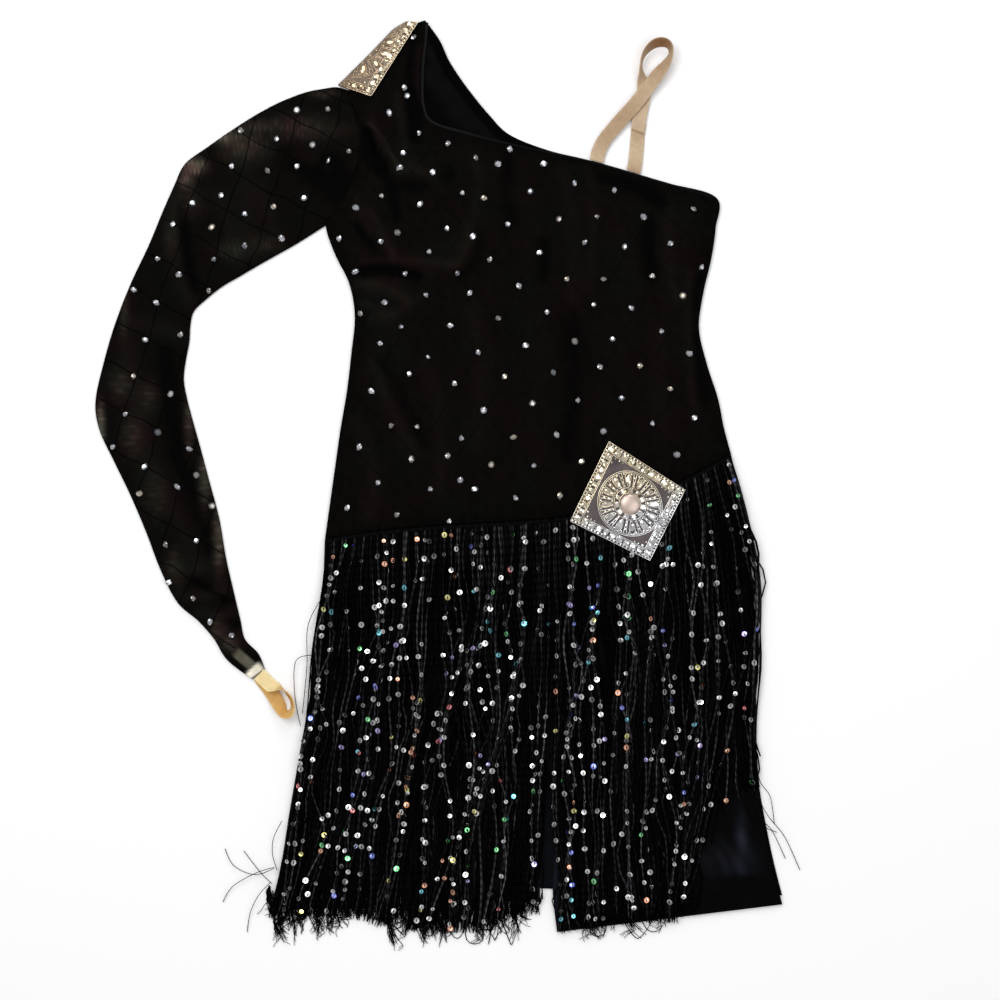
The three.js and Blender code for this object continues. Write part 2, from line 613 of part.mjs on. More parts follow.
// The corners of a band's section, across its width and out of its face.
const BAND_CORNERS = [[-1, -1], [1, -1], [1, 1], [-1, 1]];

// A flat band: at each row of the table its width points along heading and tips up by tilt.
function elasticBand(table, wide, thick) {
  const rings = smoothRows(table, BAND_STEPS).map((row, k, rows) => {
    const before = rows[Math.max(0, k - 1)];
    const after = rows[Math.min(rows.length - 1, k + 1)];
    const along = new THREE.Vector3(after.x - before.x, after.y - before.y, after.z - before.z).normalize();
    const heading = THREE.MathUtils.degToRad(row.heading);
    const tilt = THREE.MathUtils.degToRad(row.tilt);
    const level = Math.cos(tilt);
    const width = new THREE.Vector3(level * Math.cos(heading), level * Math.sin(heading), Math.sin(tilt));
    const face = new THREE.Vector3().crossVectors(along, width).normalize();
    const middle = new THREE.Vector3(row.x, row.y, row.z);
    return BAND_CORNERS.map(([across, out]) =>
      middle.clone().addScaledVector(width, across * wide / 2).addScaledVector(face, out * thick / 2));
  });
  return loft(rings);
}

// ---------------------------------------------------------------- appliques

// The hip rosette: rings about its middle, round inside and square at its border.
function rosettePlate() {
  const place = (a, b) => {
    const across = (a + 1) / 2;
    const down = (b + 1) / 2;
    const side = (name) => lerp(
      lerp(hipCorners.top[name], hipCorners.right[name], across),
      lerp(hipCorners.left[name], hipCorners.bottom[name], across),
      down,
    );
    return { x: side('x'), y: side('y') };
  };
  const middle = place(0, 0);
  const face = HIP_APPLIQUE_BASE + PLATE;
  const points = [new THREE.Vector3(middle.x, middle.y, face + rosetteRings[0].lift)];
  for (const ring of rosetteRings) {
    for (let spoke = 0; spoke < ROSETTE_SPOKES; spoke++) {
      const angle = 2 * Math.PI * spoke / ROSETTE_SPOKES;
      const [c, s] = [Math.cos(angle), Math.sin(angle)];
      const stretch = lerp(1, 1 / Math.max(Math.abs(c), Math.abs(s)), ring.square);
      const { x, y } = place(c * ring.reach * stretch, s * ring.reach * stretch);
      const dip = ring.petal * (spoke % (ROSETTE_SPOKES / PETALS));
      points.push(new THREE.Vector3(x, y, face + ring.lift - dip));
    }
  }
  const rim = points.slice(-ROSETTE_SPOKES);
  points.push(...rim.map((p) => new THREE.Vector3(p.x, p.y, HIP_APPLIQUE_BASE)));
  points.push(new THREE.Vector3(middle.x, middle.y, HIP_APPLIQUE_BASE));
  const last = points.length - 1;
  const faces = [];
  const ringStart = (ring) => 1 + ring * ROSETTE_SPOKES;
  for (let spoke = 0; spoke < ROSETTE_SPOKES; spoke++) {
    const next = (spoke + 1) % ROSETTE_SPOKES;
    faces.push([0, ringStart(0) + spoke, ringStart(0) + next]);
    for (let ring = 0; ring < rosetteRings.length; ring++) {
      const [a, b] = [ringStart(ring) + spoke, ringStart(ring) + next];
      const [c, d] = [ringStart(ring + 1) + spoke, ringStart(ring + 1) + next];
      faces.push([a, c, b], [b, c, d]);
    }
    const under = ringStart(rosetteRings.length);
    faces.push([last, under + next, under + spoke]);
  }
  return closedGeometry(points, faces);
}

// The shoulder applique: the same plate folded round the shoulder's edge, stones on its outside.
function foldedApplique() {
  const rows = Array.from({ length: PLATE_STEPS + 1 }, (_, k) => {
    const along = k / PLATE_STEPS;
    const inner = onCurve(shoulderInnerEdge, along);
    const outer = onCurve(shoulderFoldLine, along);
    const width = Math.hypot(outer.x - inner.x, outer.y - inner.y);
    const outX = (outer.x - inner.x) / width;
    const outY = (outer.y - inner.y) / width;
    const reach = width - PLATE / 2;
    const middles = foldedPlate.map(({ across, up, relief }) => ({ along: across * reach, up, relief }));
    return middles.map((spot, index) => {
      const before = middles[Math.max(0, index - 1)];
      const after = middles[Math.min(middles.length - 1, index + 1)];
      const run = Math.hypot(after.along - before.along, after.up - before.up);
      const normal = { out: -(after.up - before.up) / run, up: (after.along - before.along) / run };
      const border = k === 0 || k === PLATE_STEPS ? 0 : 1;
      const beside = (distance) => new THREE.Vector3(
        inner.x + outX * (spot.along + normal.out * distance),
        inner.y + outY * (spot.along + normal.out * distance),
        spot.up + normal.up * distance,
      );
      return { outside: beside(PLATE / 2 + spot.relief * border), inside: beside(-PLATE / 2) };
    });
  });
  const outside = rows.map((row) => row.map((spot) => spot.outside));
  const inside = rows.map((row) => row.map((spot) => spot.inside));
  return wallBetween(outside, inside);
}

// ---------------------------------------------------------------- fringe

// An even, repeatable scatter between -1 and 1 for the strand of a given number.
function scatter(number, salt) {
  const wave = Math.sin(number * 12.9898 + salt * 78.233) * 43758.5453;
  return 2 * (wave - Math.floor(wave)) - 1;
}

function toManifold(geometry) {
  const merged = mergeVertices(geometry, 1e-4);
  const mesh = new wasm.Mesh({
    numProp: 3,
    vertProperties: new Float32Array(merged.attributes.position.array),
    triVerts: new Uint32Array(merged.index.array),
  });
  return new wasm.Manifold(mesh);
}

function fromManifold(solid) {
  const mesh = solid.getMesh();
  const geometry = new THREE.BufferGeometry();
  geometry.setAttribute('position', new THREE.Float32BufferAttribute(mesh.vertProperties, 3));
  geometry.setIndex(new THREE.BufferAttribute(new Uint32Array(mesh.triVerts), 1));
  return geometry;
}

// A three-sided strand through points that give the middle of its flat side; it narrows at its tip.
function strand(path) {
  return loft(path.map((point, k) => {
    const before = path[Math.max(0, k - 1)];
    const after = path[Math.min(path.length - 1, k + 1)];
    const length = Math.hypot(after.x - before.x, after.y - before.y);
    const isTip = k === path.length - 1;
    const half = (isTip ? TIP_SCALE : 1) * STRAND_WIDE / 2;
    const sideX = -(after.y - before.y) / length * half;
    const sideY = (after.x - before.x) / length * half;
    return [
      new THREE.Vector3(point.x - sideX, point.y - sideY, point.z),
      new THREE.Vector3(point.x + sideX, point.y + sideY, point.z),
      new THREE.Vector3(point.x, point.y, point.z + STRAND_HIGH * (isTip ? TIP_HIGH : 1)),
    ];
  }));
}

// The hem's height on the page under a given x.
function hemAt(grid, x) {
  const hem = grid[grid.length - 1];
  const k = Math.max(0, hem.findIndex((point) => point.x > x) - 1);
  const t = Math.min(1, Math.max(0, (x - hem[k].x) / (hem[k + 1].x - hem[k].x)));
  return lerp(hem[k].y, hem[k + 1].y, t);
}

// The highest point of a surface along a straight line in plan.
function highestUnder(top, from, to) {
  const samples = Array.from({ length: CLEARANCE_SAMPLES }, (_, k) => {
    const t = k / (CLEARANCE_SAMPLES - 1);
    return top(lerp(from.x, to.x, t), lerp(from.y, to.y, t));
  });
  return Math.max(...samples);
}


function fringe(side, grid, top, loose, looseAtEnd) {
  const headerTable = Array.from({ length: HEADER_STEPS + 1 }, (_, k) => {
    const { x, y } = hipSeam(lerp(side.from, side.to, k / HEADER_STEPS));
    return { x, y: y - HEADER_DROP, z: HEADER_BASE + HEADER_HIGH / 2 };
  });
  const headerRings = headerTable.map(({ x, y, z }) => BAND_CORNERS.map(([down, up]) =>
    new THREE.Vector3(x, y + down * HEADER_WIDE / 2, z + up * HEADER_HIGH / 2)));
  let solid = toManifold(loft(headerRings));
  const inset = 0.6 * STRAND_WIDE / (headerTable[HEADER_STEPS].x - headerTable[0].x);
  for (let number = 0; number < side.strands; number++) {
    const part = lerp(inset, 1 - inset, number / (side.strands - 1));
    const layer = number % 2;
    const root = hipSeam(lerp(side.from, side.to, part));
    const rise = STRAND_CLEAR + layer * LAYER_STEP;
    const looseIndex = looseAtEnd ? side.strands - 1 - number : number;
    const rootZ = HEADER_BASE + lerp(ROOT_SINK, LAYER_STEP, layer);
    const rootPoint = { x: root.x, y: root.y - HEADER_DROP, z: rootZ };
    const endX = lerp(side.endLeftX, side.endRightX, part) + STRAND_SWAY * scatter(number, 3);
    const isLongest = side === LONGEST_STRAND.side && number === LONGEST_STRAND.number;
    const long = lerp(side.leftLong, side.rightLong, part) * (1 + STRAND_UNEVEN * scatter(number, 5));
    const endY = isLongest ? -HALF_LENGTH : root.y - long;
    const bend = loose[looseIndex];
    const outward = looseAtEnd ? part : 1 - part;
    const hemX = bend ? bend.ax : endX;
    const lastY = bend ? bend.ay : Math.max(endY, hemAt(grid, hemX) - HEM_OVERHANG);
    const path = [rootPoint];
    for (let k = 1; k <= STRAND_STATIONS; k++) {
      const t = k / STRAND_STATIONS;
      const sway = STRAND_SWAY * scatter(number, k) * (k < STRAND_STATIONS ? 1 : 0);
      const x = lerp(root.x, hemX, t) + sway + side.bulge * Math.sin(Math.PI * t) * outward;
      const y = lerp(rootPoint.y, lastY, t);
      path.push({ x, y, z: HEADER_BASE });
    }
    for (let k = 1; k <= STRAND_STATIONS; k++) {
      const spans = [path[k - 1], path[k], path[Math.min(k + 1, STRAND_STATIONS)]];
      const before = highestUnder(top, spans[0], spans[1]);
      const after = highestUnder(top, spans[1], spans[2]);
      path[k].z = rise + Math.max(before, after);
    }
    const high = FRONT_TOP + rise;
    if (bend) {
      path.push({ x: bend.bx, y: bend.by, z: high / 2 });
      path.push({ x: bend.cx, y: bend.cy, z: FLOOR_CLEAR + layer * LAYER_STEP });
    } else if (endY < lastY - SHORTEST_TIP) {
      const fall = smoothstep(lastY - endY, 0, TIP_FALL);
      path.push({ x: endX + STRAND_SWAY * scatter(number, 7), y: endY, z: lerp(high, FLOOR_CLEAR, fall) });
    }
    solid = solid.add(toManifold(strand(path)));
  }
  return fromManifold(solid);
}

// ---------------------------------------------------------------- the dress

const finishes = {
  mesh: { color: 0x120f12, roughness: 0.8, metalness: 0 },
  lining: { color: 0x0d0b0e, roughness: 0.7, metalness: 0 },
  stretch: { color: 0x0c0e18, roughness: 0.45, metalness: 0 },
  thread: { color: 0x141316, roughness: 0.5, metalness: 0 },
  nude: { color: 0xd0b48e, roughness: 0.75, metalness: 0 },
  cream: { color: 0xe6cf9c, roughness: 0.7, metalness: 0 },
  rhinestone: { color: 0xc9c3ba, roughness: 0.25, metalness: 0.7 },
};

const group = new THREE.Group();

function addPiece(name, geometry, finish) {
  const mesh = new THREE.Mesh(geometry, new THREE.MeshStandardMaterial(finishes[finish]));
  mesh.name = name;
  group.add(mesh);
}

addPiece('bodice_back', backPanel(bodiceBackGrid), 'lining');
addPiece('bodice_front', frontPanel(bodiceGrid, bodiceTop), 'mesh');
addPiece('sleeve', sleeveWall(), 'mesh');
addPiece('skirt_back', backPanel(skirtBackGrid), 'stretch');
addPiece('skirt_front_left', frontPanel(skirtLeftGrid, skirtLeftTop), 'stretch');
addPiece('skirt_front_right', frontPanel(skirtRightGrid, skirtRightTop), 'stretch');
addPiece('fringe_left', fringe(fringes.left, skirtLeftGrid, skirtLeftTop, looseLeft, false), 'thread');
addPiece('fringe_right', fringe(fringes.right, skirtRightGrid, skirtRightTop, looseRight, true), 'thread');
addPiece('hip_applique', rosettePlate(), 'rhinestone');
addPiece('shoulder_applique', foldedApplique(), 'rhinestone');
addPiece('strap_long', elasticBand(strapLong, ELASTIC_WIDE, ELASTIC), 'nude');
addPiece('strap_short', elasticBand(strapShort, ELASTIC_WIDE, ELASTIC), 'nude');
addPiece('finger_loop', elasticBand(fingerLoop, FINGER_ELASTIC_WIDE, ELASTIC), 'cream');

export default group;
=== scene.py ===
import bpy
import numpy as np
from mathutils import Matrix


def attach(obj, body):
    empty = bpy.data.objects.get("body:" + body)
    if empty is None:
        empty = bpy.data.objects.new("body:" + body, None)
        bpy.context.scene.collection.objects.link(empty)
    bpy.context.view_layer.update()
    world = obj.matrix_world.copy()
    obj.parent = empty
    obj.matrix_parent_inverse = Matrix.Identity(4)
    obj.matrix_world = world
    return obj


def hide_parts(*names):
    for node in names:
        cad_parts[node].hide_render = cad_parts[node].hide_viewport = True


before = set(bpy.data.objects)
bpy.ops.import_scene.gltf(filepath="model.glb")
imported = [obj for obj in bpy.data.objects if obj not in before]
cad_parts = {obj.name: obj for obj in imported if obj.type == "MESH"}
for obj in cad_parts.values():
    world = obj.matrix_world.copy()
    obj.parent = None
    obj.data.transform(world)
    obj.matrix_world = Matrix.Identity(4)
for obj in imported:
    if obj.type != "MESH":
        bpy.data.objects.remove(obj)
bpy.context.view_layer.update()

# ---------------------------------------------------------------- camera, floor and light
# The dress lies on a pale studio floor and is seen from straight above. Two large soft lamps hang
# over its left and right and a smaller one beyond its shoulder, under an even pale sky.
MM = 0.001
VIEW_CENTRE = (46.8 * MM, -10.8 * MM)
VIEW_WIDTH = 0.9
CAMERA_HEIGHT = 2.5
MIDDLE_HEIGHT = 0.004
FLOOR_SIZE = 8.0
FLOOR_DROP = 0.0006
SKY = (0.50, 0.50, 0.51)
# x, y, z, side, watts of each lamp
lamps = (
    (-0.9, 0.8, 2.1, 1.5, 27.0),
    (1.1, -0.5, 2.3, 1.8, 16.0),
    (0.2, 1.6, 1.2, 0.8, 7.0),
)

camera = bpy.data.objects.new("camera", bpy.data.cameras.new("camera"))
camera.data.lens = camera.data.sensor_width * (CAMERA_HEIGHT - MIDDLE_HEIGHT) / VIEW_WIDTH
camera.location = (*VIEW_CENTRE, CAMERA_HEIGHT)
bpy.context.collection.objects.link(camera)
bpy.context.scene.camera = camera
bpy.context.scene.view_settings.view_transform = "Standard"

for number, (x, y, z, side, watts) in enumerate(lamps):
    lamp = bpy.data.objects.new(f"lamp_{number}", bpy.data.lights.new(f"lamp_{number}", "AREA"))
    lamp.data.size = side
    lamp.data.energy = watts
    lamp.location = (x, y, z)
    aim = lamp.location.copy()
    aim.x -= VIEW_CENTRE[0]
    aim.y -= VIEW_CENTRE[1]
    lamp.rotation_mode = "QUATERNION"
    lamp.rotation_quaternion = aim.to_track_quat("Z", "Y")
    bpy.context.collection.objects.link(lamp)

world = bpy.data.worlds.new("studio")
world.use_nodes = True
world.node_tree.nodes["Background"].inputs["Color"].default_value = (*SKY, 1)
bpy.context.scene.world = world


def new_finish(name, color, roughness, specular, metallic=0.0):
    """A material whose shader has these constant values."""
    finish = bpy.data.materials.new(name)
    finish.use_nodes = True
    shader = finish.node_tree.nodes["Principled BSDF"]
    shader.inputs["Base Color"].default_value = (*color, 1)
    shader.inputs["Roughness"].default_value = roughness
    shader.inputs["Specular IOR Level"].default_value = specular
    shader.inputs["Metallic"].default_value = metallic
    return finish


def color_points(mesh, name, colors):
    """Gives each point of a mesh a colour, under a name that a finish can read."""
    layer = mesh.attributes.new(name, "FLOAT_COLOR", "POINT")
    opaque = np.ones((len(colors), 1))
    layer.data.foreach_set("color", np.hstack([colors, opaque]).astype(np.float32).ravel())


def new_piece(name, points, faces, finish, uv=None, tint=None, smooth=True):
    """A mesh object from points in millimetres and arrays of faces, one array for each number of
    corners. uv is a place for each point, in metres, and tint a colour for each point."""
    mesh = bpy.data.meshes.new(name)
    arrays = [np.asarray(face, np.int32) for face in faces]
    corners = np.concatenate([face.ravel() for face in arrays])
    sizes = np.concatenate([np.full(len(face), face.shape[1]) for face in arrays])
    mesh.vertices.add(len(points))
    mesh.vertices.foreach_set("co", np.asarray(points, np.float32).ravel() * MM)
    mesh.loops.add(len(corners))
    mesh.loops.foreach_set("vertex_index", corners)
    mesh.polygons.add(len(sizes))
    mesh.polygons.foreach_set("loop_start", np.cumsum(sizes) - sizes)
    mesh.polygons.foreach_set("use_smooth", np.full(len(sizes), smooth))
    mesh.update(calc_edges=True)
    if uv is not None:
        layer = mesh.uv_layers.new(name="cloth")
        layer.data.foreach_set("uv", np.asarray(uv, np.float32)[corners].ravel())
    if tint is not None:
        color_points(mesh, "tint", tint)
    mesh.materials.append(finish)
    piece = bpy.data.objects.new(name, mesh)
    bpy.context.collection.objects.link(piece)
    return piece


floor_finish = new_finish("studio_floor", (0.93, 0.93, 0.93), 0.9, 0.1)
floor_corners = np.array([(-1, -1, -1), (1, -1, -1), (1, 1, -1), (-1, 1, -1)])
floor_corners = floor_corners * (FLOOR_SIZE / 2 / MM, FLOOR_SIZE / 2 / MM, FLOOR_DROP / MM)
floor = new_piece("studio_floor", floor_corners, [[(0, 1, 2, 3)]], floor_finish)

# ---------------------------------------------------------------- bodice back
# The back of the bodice: stretch mesh over a lining, cut in one piece, whose neckline stands higher
# than the front's. Its inside shows there, with the neckline's facing turned in along the edge.
CLOTH = 1.2
FRONT_TOP = 2.7
SHOULDER_LIFT = 1.8
LIFT_FROM, LIFT_BY = 306, 344
HALF_LENGTH = 421.2
BACK_ROWS, BACK_COLUMNS = 150, 110
NECKLINE_ROWS = 70
HIP_DIP = -26
DIP_SKEW = 1.7
FACING_WIDE = 8.5
FACING_HIGH = 0.45

# Shoulder to hip seam: leftX, leftY, rightX, rightY, dip
bodice_sections = np.array([
    (-38, 415, -18, 419, 0),
    (-53, 402, -19, 404, 0),
    (-67, 388, -21, 386, 0),
    (-80, 372, -22, 366, 0),
    (-89, 357, -21, 345, 0),
    (-83, 337, -13, 330, 0),
    (-79, 318, 18, 320, 0),
    (-81, 296, 66, 308, 0),
    (-90, 270, 130, 294, 0),
    (-101, 252, 192, 276, 0),
    (-110, 237, 241, 262, 0),
    (-102, 211, 241, 234, 0),
    (-89, 184, 237, 206, 0),
    (-84, 155, 230, 176, 0),
    (-87, 122, 226, 144, 0),
    (-91, 88, 233, 112, -4),
    (-97, 52, 243, 81, -9),
    (-103, 10, 248.5, 54, -16),
    (-111, -47, 255, 30, HIP_DIP),
], float)
# Where the back's right ends differ from the front's: rightX, rightY
back_neckline = np.array([
    (-20.7, HALF_LENGTH),
    (-7.5, 403),
    (0.5, 385.5),
    (10, 370.5),
    (20.5, 356),
    (37, 336),
    (55, 318.5),
    (88, 305),
])


def smooth_rows(table, places):
    """Rows of a table at places from 0 (first) to 1 (last): between two rows each value follows
    the cubic through them whose slopes are half the difference of their neighbours."""
    table = np.asarray(table, float)
    place = np.clip(np.asarray(places, float), 0, 1) * (len(table) - 1)
    span = np.minimum(place.astype(int), len(table) - 2)
    t = (place - span)[:, None]
    padded = np.vstack([table[:1], table, table[-1:]])
    a, b, c, d = (padded[span + k] for k in range(4))
    slope, end_slope = (c - a) / 2, (d - b) / 2
    square = 3 * (c - b) - 2 * slope - end_slope
    cube = 2 * (b - c) + slope + end_slope
    return b + t * slope + t ** 2 * square + t ** 3 * cube


def smoothstep(value, low, high):
    """0 below low, 1 above high and 3t^2 - 2t^3 between them."""
    t = np.clip((value - low) / (high - low), 0, 1)
    return t * t * (3 - 2 * t)


def section_grid(sections, rows, columns):
    """Plan places across each section: straight from its left to its right end, and lower by its
    dip times the sine of half a turn of the fraction to the power DIP_SKEW."""
    row = smooth_rows(sections, np.linspace(0, 1, rows + 1))[:, None, :]
    part = np.linspace(0, 1, columns + 1)
    x = row[..., 0] + (row[..., 2] - row[..., 0]) * part
    y = row[..., 1] + (row[..., 3] - row[..., 1]) * part
    return x, y + row[..., 4] * np.sin(np.pi * part ** DIP_SKEW)


def outline_of(x, y):
    """The closed outline of a grid of plan places."""
    def run(grid):
        return np.concatenate([grid[:, 0], grid[-1, 1:], grid[-2::-1, -1], grid[0, -2::-1]])
    return np.stack([run(x), run(y)], 1)


def distance_to(path, x, y):
    """Shortest plan distance to a path: to each straight part of it, the foot of the point is held
    between the part's ends."""
    start, way = path[:-1], path[1:] - path[:-1]
    across = x[..., None] - start[:, 0]
    up = y[..., None] - start[:, 1]
    length2 = np.maximum((way ** 2).sum(1), 1e-9)
    t = np.clip((across * way[:, 0] + up * way[:, 1]) / length2, 0, 1)
    return np.sqrt(((across - t * way[:, 0]) ** 2 + (up - t * way[:, 1]) ** 2).min(-1))


def shoulder_lift(y):
    """The panels are raised at the shoulder, where the folded applique lies under them."""
    return SHOULDER_LIFT * smoothstep(y, LIFT_FROM, LIFT_BY)


def uneven(x, y, pitch, seed, waves=6):
    """Cloth that doesn't lie quite level: a mean of several waves of about one pitch, each in its
    own seeded direction and phase."""
    draw = np.random.default_rng(seed)
    total = np.zeros_like(x)
    for _ in range(waves):
        angle, phase = draw.uniform(0, 2 * np.pi, 2)
        wave = 2 * np.pi / (pitch * draw.uniform(0.7, 1.5))
        total += np.sin(wave * (x * np.cos(angle) + y * np.sin(angle)) + phase)
    return total / waves


def closed_wall(face, back):
    """Points and faces of a closed wall: a grid of points, a second grid behind it, and a strip
    round the rim of both."""
    at = np.arange(face[..., 0].size).reshape(face.shape[:2])
    quads = np.stack([at[:-1, :-1], at[1:, :-1], at[1:, 1:], at[:-1, 1:]], -1).reshape(-1, 4)
    rim = np.concatenate([at[:-1, 0], at[-1, :-1], at[:0:-1, -1], at[0, :0:-1]])
    after = np.roll(rim, -1)
    strip = np.stack([rim, rim + at.size, after + at.size, after], -1)
    points = np.vstack([face.reshape(-1, 3), back.reshape(-1, 3)])
    return points, [np.vstack([quads, quads[:, ::-1] + at.size, strip])]


def thin_shell(x, y, top, under):
    """Points and faces of a closed wall between two heights over one plan grid."""
    return closed_wall(np.stack([x, y, top], -1), np.stack([x, y, under], -1))


def step(finish, kind, inputs, **settings):
    """Adds a node to a finish: each input is a number, a colour or another node's output."""
    added = finish.node_tree.nodes.new("ShaderNode" + kind)
    for name, value in settings.items():
        setattr(added, name, value)
    for socket, value in inputs.items():
        if isinstance(value, bpy.types.NodeSocket):
            finish.node_tree.links.new(value, added.inputs[socket])
        else:
            added.inputs[socket].default_value = value
    return added


def reckon(finish, operation, *values):
    """The result of one of the Math node's operations on numbers or other nodes' outputs."""
    return step(finish, "Math", dict(enumerate(values)), operation=operation).outputs[0]


def feed(finish, socket, output):
    """Links a node's output to a socket of the finish's shader."""
    shader = finish.node_tree.nodes["Principled BSDF"]
    finish.node_tree.links.new(output, shader.inputs[socket])


def thread_wave(finish, places, pitch, direction):
    """Bands across one direction, a pitch in millimetres apart: the wave texture turns once in
    2 pi / 20 of its scaled place."""
    scale = 2 * np.pi / 20 / (pitch * MM)
    waves = step(finish, "TexWave", {"Vector": places, "Scale": scale}, bands_direction=direction)
    return waves.outputs["Fac"]


def weave(finish, pitch, depth):
    """Crossed threads: two wave patterns over the cloth's own places, a thread's pitch apart, that
    raise the surface by their height."""
    places = step(finish, "UVMap", {}, uv_map="cloth").outputs["UV"]
    warp, weft = (thread_wave(finish, places, pitch, direction) for direction in "XY")
    threads = reckon(finish, "MAXIMUM", warp, weft)
    bump = step(finish, "Bump", {"Height": threads, "Strength": 0.5, "Distance": depth * MM})
    feed(finish, "Normal", bump.outputs["Normal"])


def patches(finish, size, colors):
    """A colour that wanders between several over patches of a size in metres."""
    places = step(finish, "TexCoord", {}).outputs["Object"]
    noise = step(finish, "TexNoise", {"Vector": places, "Scale": 1 / size, "Detail": 2.0})
    ramp = step(finish, "ValToRGB", {"Fac": noise.outputs["Fac"]})
    stops = ramp.color_ramp.elements
    for number, color in enumerate(colors):
        place = 0.3 + 0.4 * number / (len(colors) - 1)
        stop = stops[number] if number < 2 else stops.new(place)
        stop.position = place
        stop.color = (*color, 1)
    return ramp.outputs["Color"]


def shaded(finish, color, through=(0, 0, 0)):
    """The base colour is a colour times the surface's own tint, plus what shows through. On cloth
    the
    tint is painted shade: paler on a ridge and darker down in a trough."""
    tint = step(finish, "Attribute", {}, attribute_name="tint").outputs["Color"]
    mixed = step(finish, "VectorMath", {0: color, 1: tint, 2: through}, operation="MULTIPLY_ADD")
    feed(finish, "Base Color", mixed.outputs[0])


def gray(values, each=1):
    """Values as three equal columns, each row repeated for so many points."""
    return np.repeat(np.repeat(np.reshape(values, (-1, 1)), each, axis=0), 3, axis=1)


def on_both(values):
    """Values of an upper grid, as gray, given to the upper and the under side alike."""
    return gray(np.tile(values.reshape(-1, 1), (2, 1)))


def plan_uv(x, y):
    """Cloth places of a wall: the plan places of its upper and of its under side."""
    return np.tile(np.stack([x, y], -1).reshape(-1, 2), (2, 1)) * MM


def fit(piece, slot, *nodes):
    """The piece rides with the dress and stands for its solids, which it hides; its slot is not
    used.
    """
    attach(piece, "root")
    if nodes:
        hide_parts(*nodes)


def cloth_panel(name, plan, top, under, finish, tint, slot, node):
    """A piece of cloth between two heights over its plan grid, tinted alike on both sides."""
    points, faces = thin_shell(*plan, top, under)
    piece = new_piece(name, points, faces, finish, plan_uv(*plan), on_both(tint))
    fit(piece, slot, node)
    return piece


lining_finish = new_finish("lining", (0.004, 0.004, 0.004), 0.85, 0.03)
weave(lining_finish, 0.5, 0.1)
shaded(lining_finish, patches(lining_finish, 0.03, [
    (0.0030, 0.0030, 0.0032), (0.0042, 0.0042, 0.0046), (0.0034, 0.0036, 0.0038)]))

back_sections = bodice_sections.copy()
back_sections[:len(back_neckline), 2:4] = back_neckline
back_x, back_y = section_grid(back_sections, BACK_ROWS, BACK_COLUMNS)
back_top_edge = np.stack([back_x[:NECKLINE_ROWS, -1], back_y[:NECKLINE_ROWS, -1]], 1)
from_edge = distance_to(back_top_edge, back_x, back_y)
facing = FACING_HIGH * (1 - smoothstep(from_edge, FACING_WIDE - 1.2, FACING_WIDE))
ripple = 0.25 * np.sin(from_edge / 7 + back_y / 19) * smoothstep(from_edge, 4, 14)
back_lift = shoulder_lift(back_y)
back_fade = smoothstep(distance_to(outline_of(back_x, back_y), back_x, back_y), 0, 16)
back_rise = np.minimum(facing + 0.25 * back_fade + ripple * back_fade, 0.5)
back_high = back_lift + CLOTH - 0.3 + back_rise
# The facing is darker than the cloth inside it. Just inside it a band of lining is painted paler as
# a satin highlight, and further in, towards the deep corner beside the front's edge, painted shade
# darkens it.
back_facing_and_painted_light = 0.08 + 0.45 * smoothstep(from_edge, FACING_WIDE - 1, FACING_WIDE + 2.5)
back_facing_and_painted_light = back_facing_and_painted_light * (1 - 0.75 * smoothstep(from_edge, 22, 34))
back_facing_and_painted_light = back_facing_and_painted_light * (1 + 0.5 * uneven(back_x, back_y, 16, 6))
bodice_back = cloth_panel("bodice_back_cloth", (back_x, back_y), back_high, back_lift,
                          lining_finish, back_facing_and_painted_light, "lining", "bodice_back")

# ---------------------------------------------------------------- bodice front
# The front of the bodice: black stretch mesh with a flocked trellis, sewn to a matt lining at its
# edges, lying in soft folds that run from the armhole and the waist. A narrow binding rolls its top.
EDGE_RISE = 18
BODICE_PUFF = 1.6
LEAST_RELIEF = -0.35
SHELL = 0.8
LOWEST_INSIDE = 1.5
FOLD_PARTS = 12
FRONT_ROWS, FRONT_COLUMNS = 230, 170
OUTLINE_ROWS, OUTLINE_COLUMNS = 36, 26
BINDING_STATIONS = 140
BINDING_CORNERS = 7
BINDING_HALF, BINDING_HIGH = 1.35, 1.0
BINDING_OUT = (-1.0, -0.6)
NECKLINE_SECTIONS = 11
# Folds: fromX, fromY, byX, byY, toX, toY, height, width
bodice_folds = (
    (-72, 203, -7, 180, 26, 232, 3.8, 14),
    (-74, 328, -64, 300, -40, 286, 3.9, 12),
    (-70, 332, -62, 306, -74, 258, 2.2, 10),
    (-28, 396, -32, 356, -22, 330, 2.6, 8),
    (-84, 183, -64, 170, -46, 148, 2.6, 11),
    (-80, 156, -62, 150, -42, 120, 1.6, 12),
    (-66, 110, -50, 76, -30, 34, 2.2, 15),
    (80, 230, 88, 120, 76, 10, 1.5, 16),
    (158, 240, 168, 110, 150, 50, 1.4, 18),
    (216, 236, 194, 190, 216, 132, 1.6, 12),
    (14, 300, 34, 276, 66, 256, 1.8, 12),
)
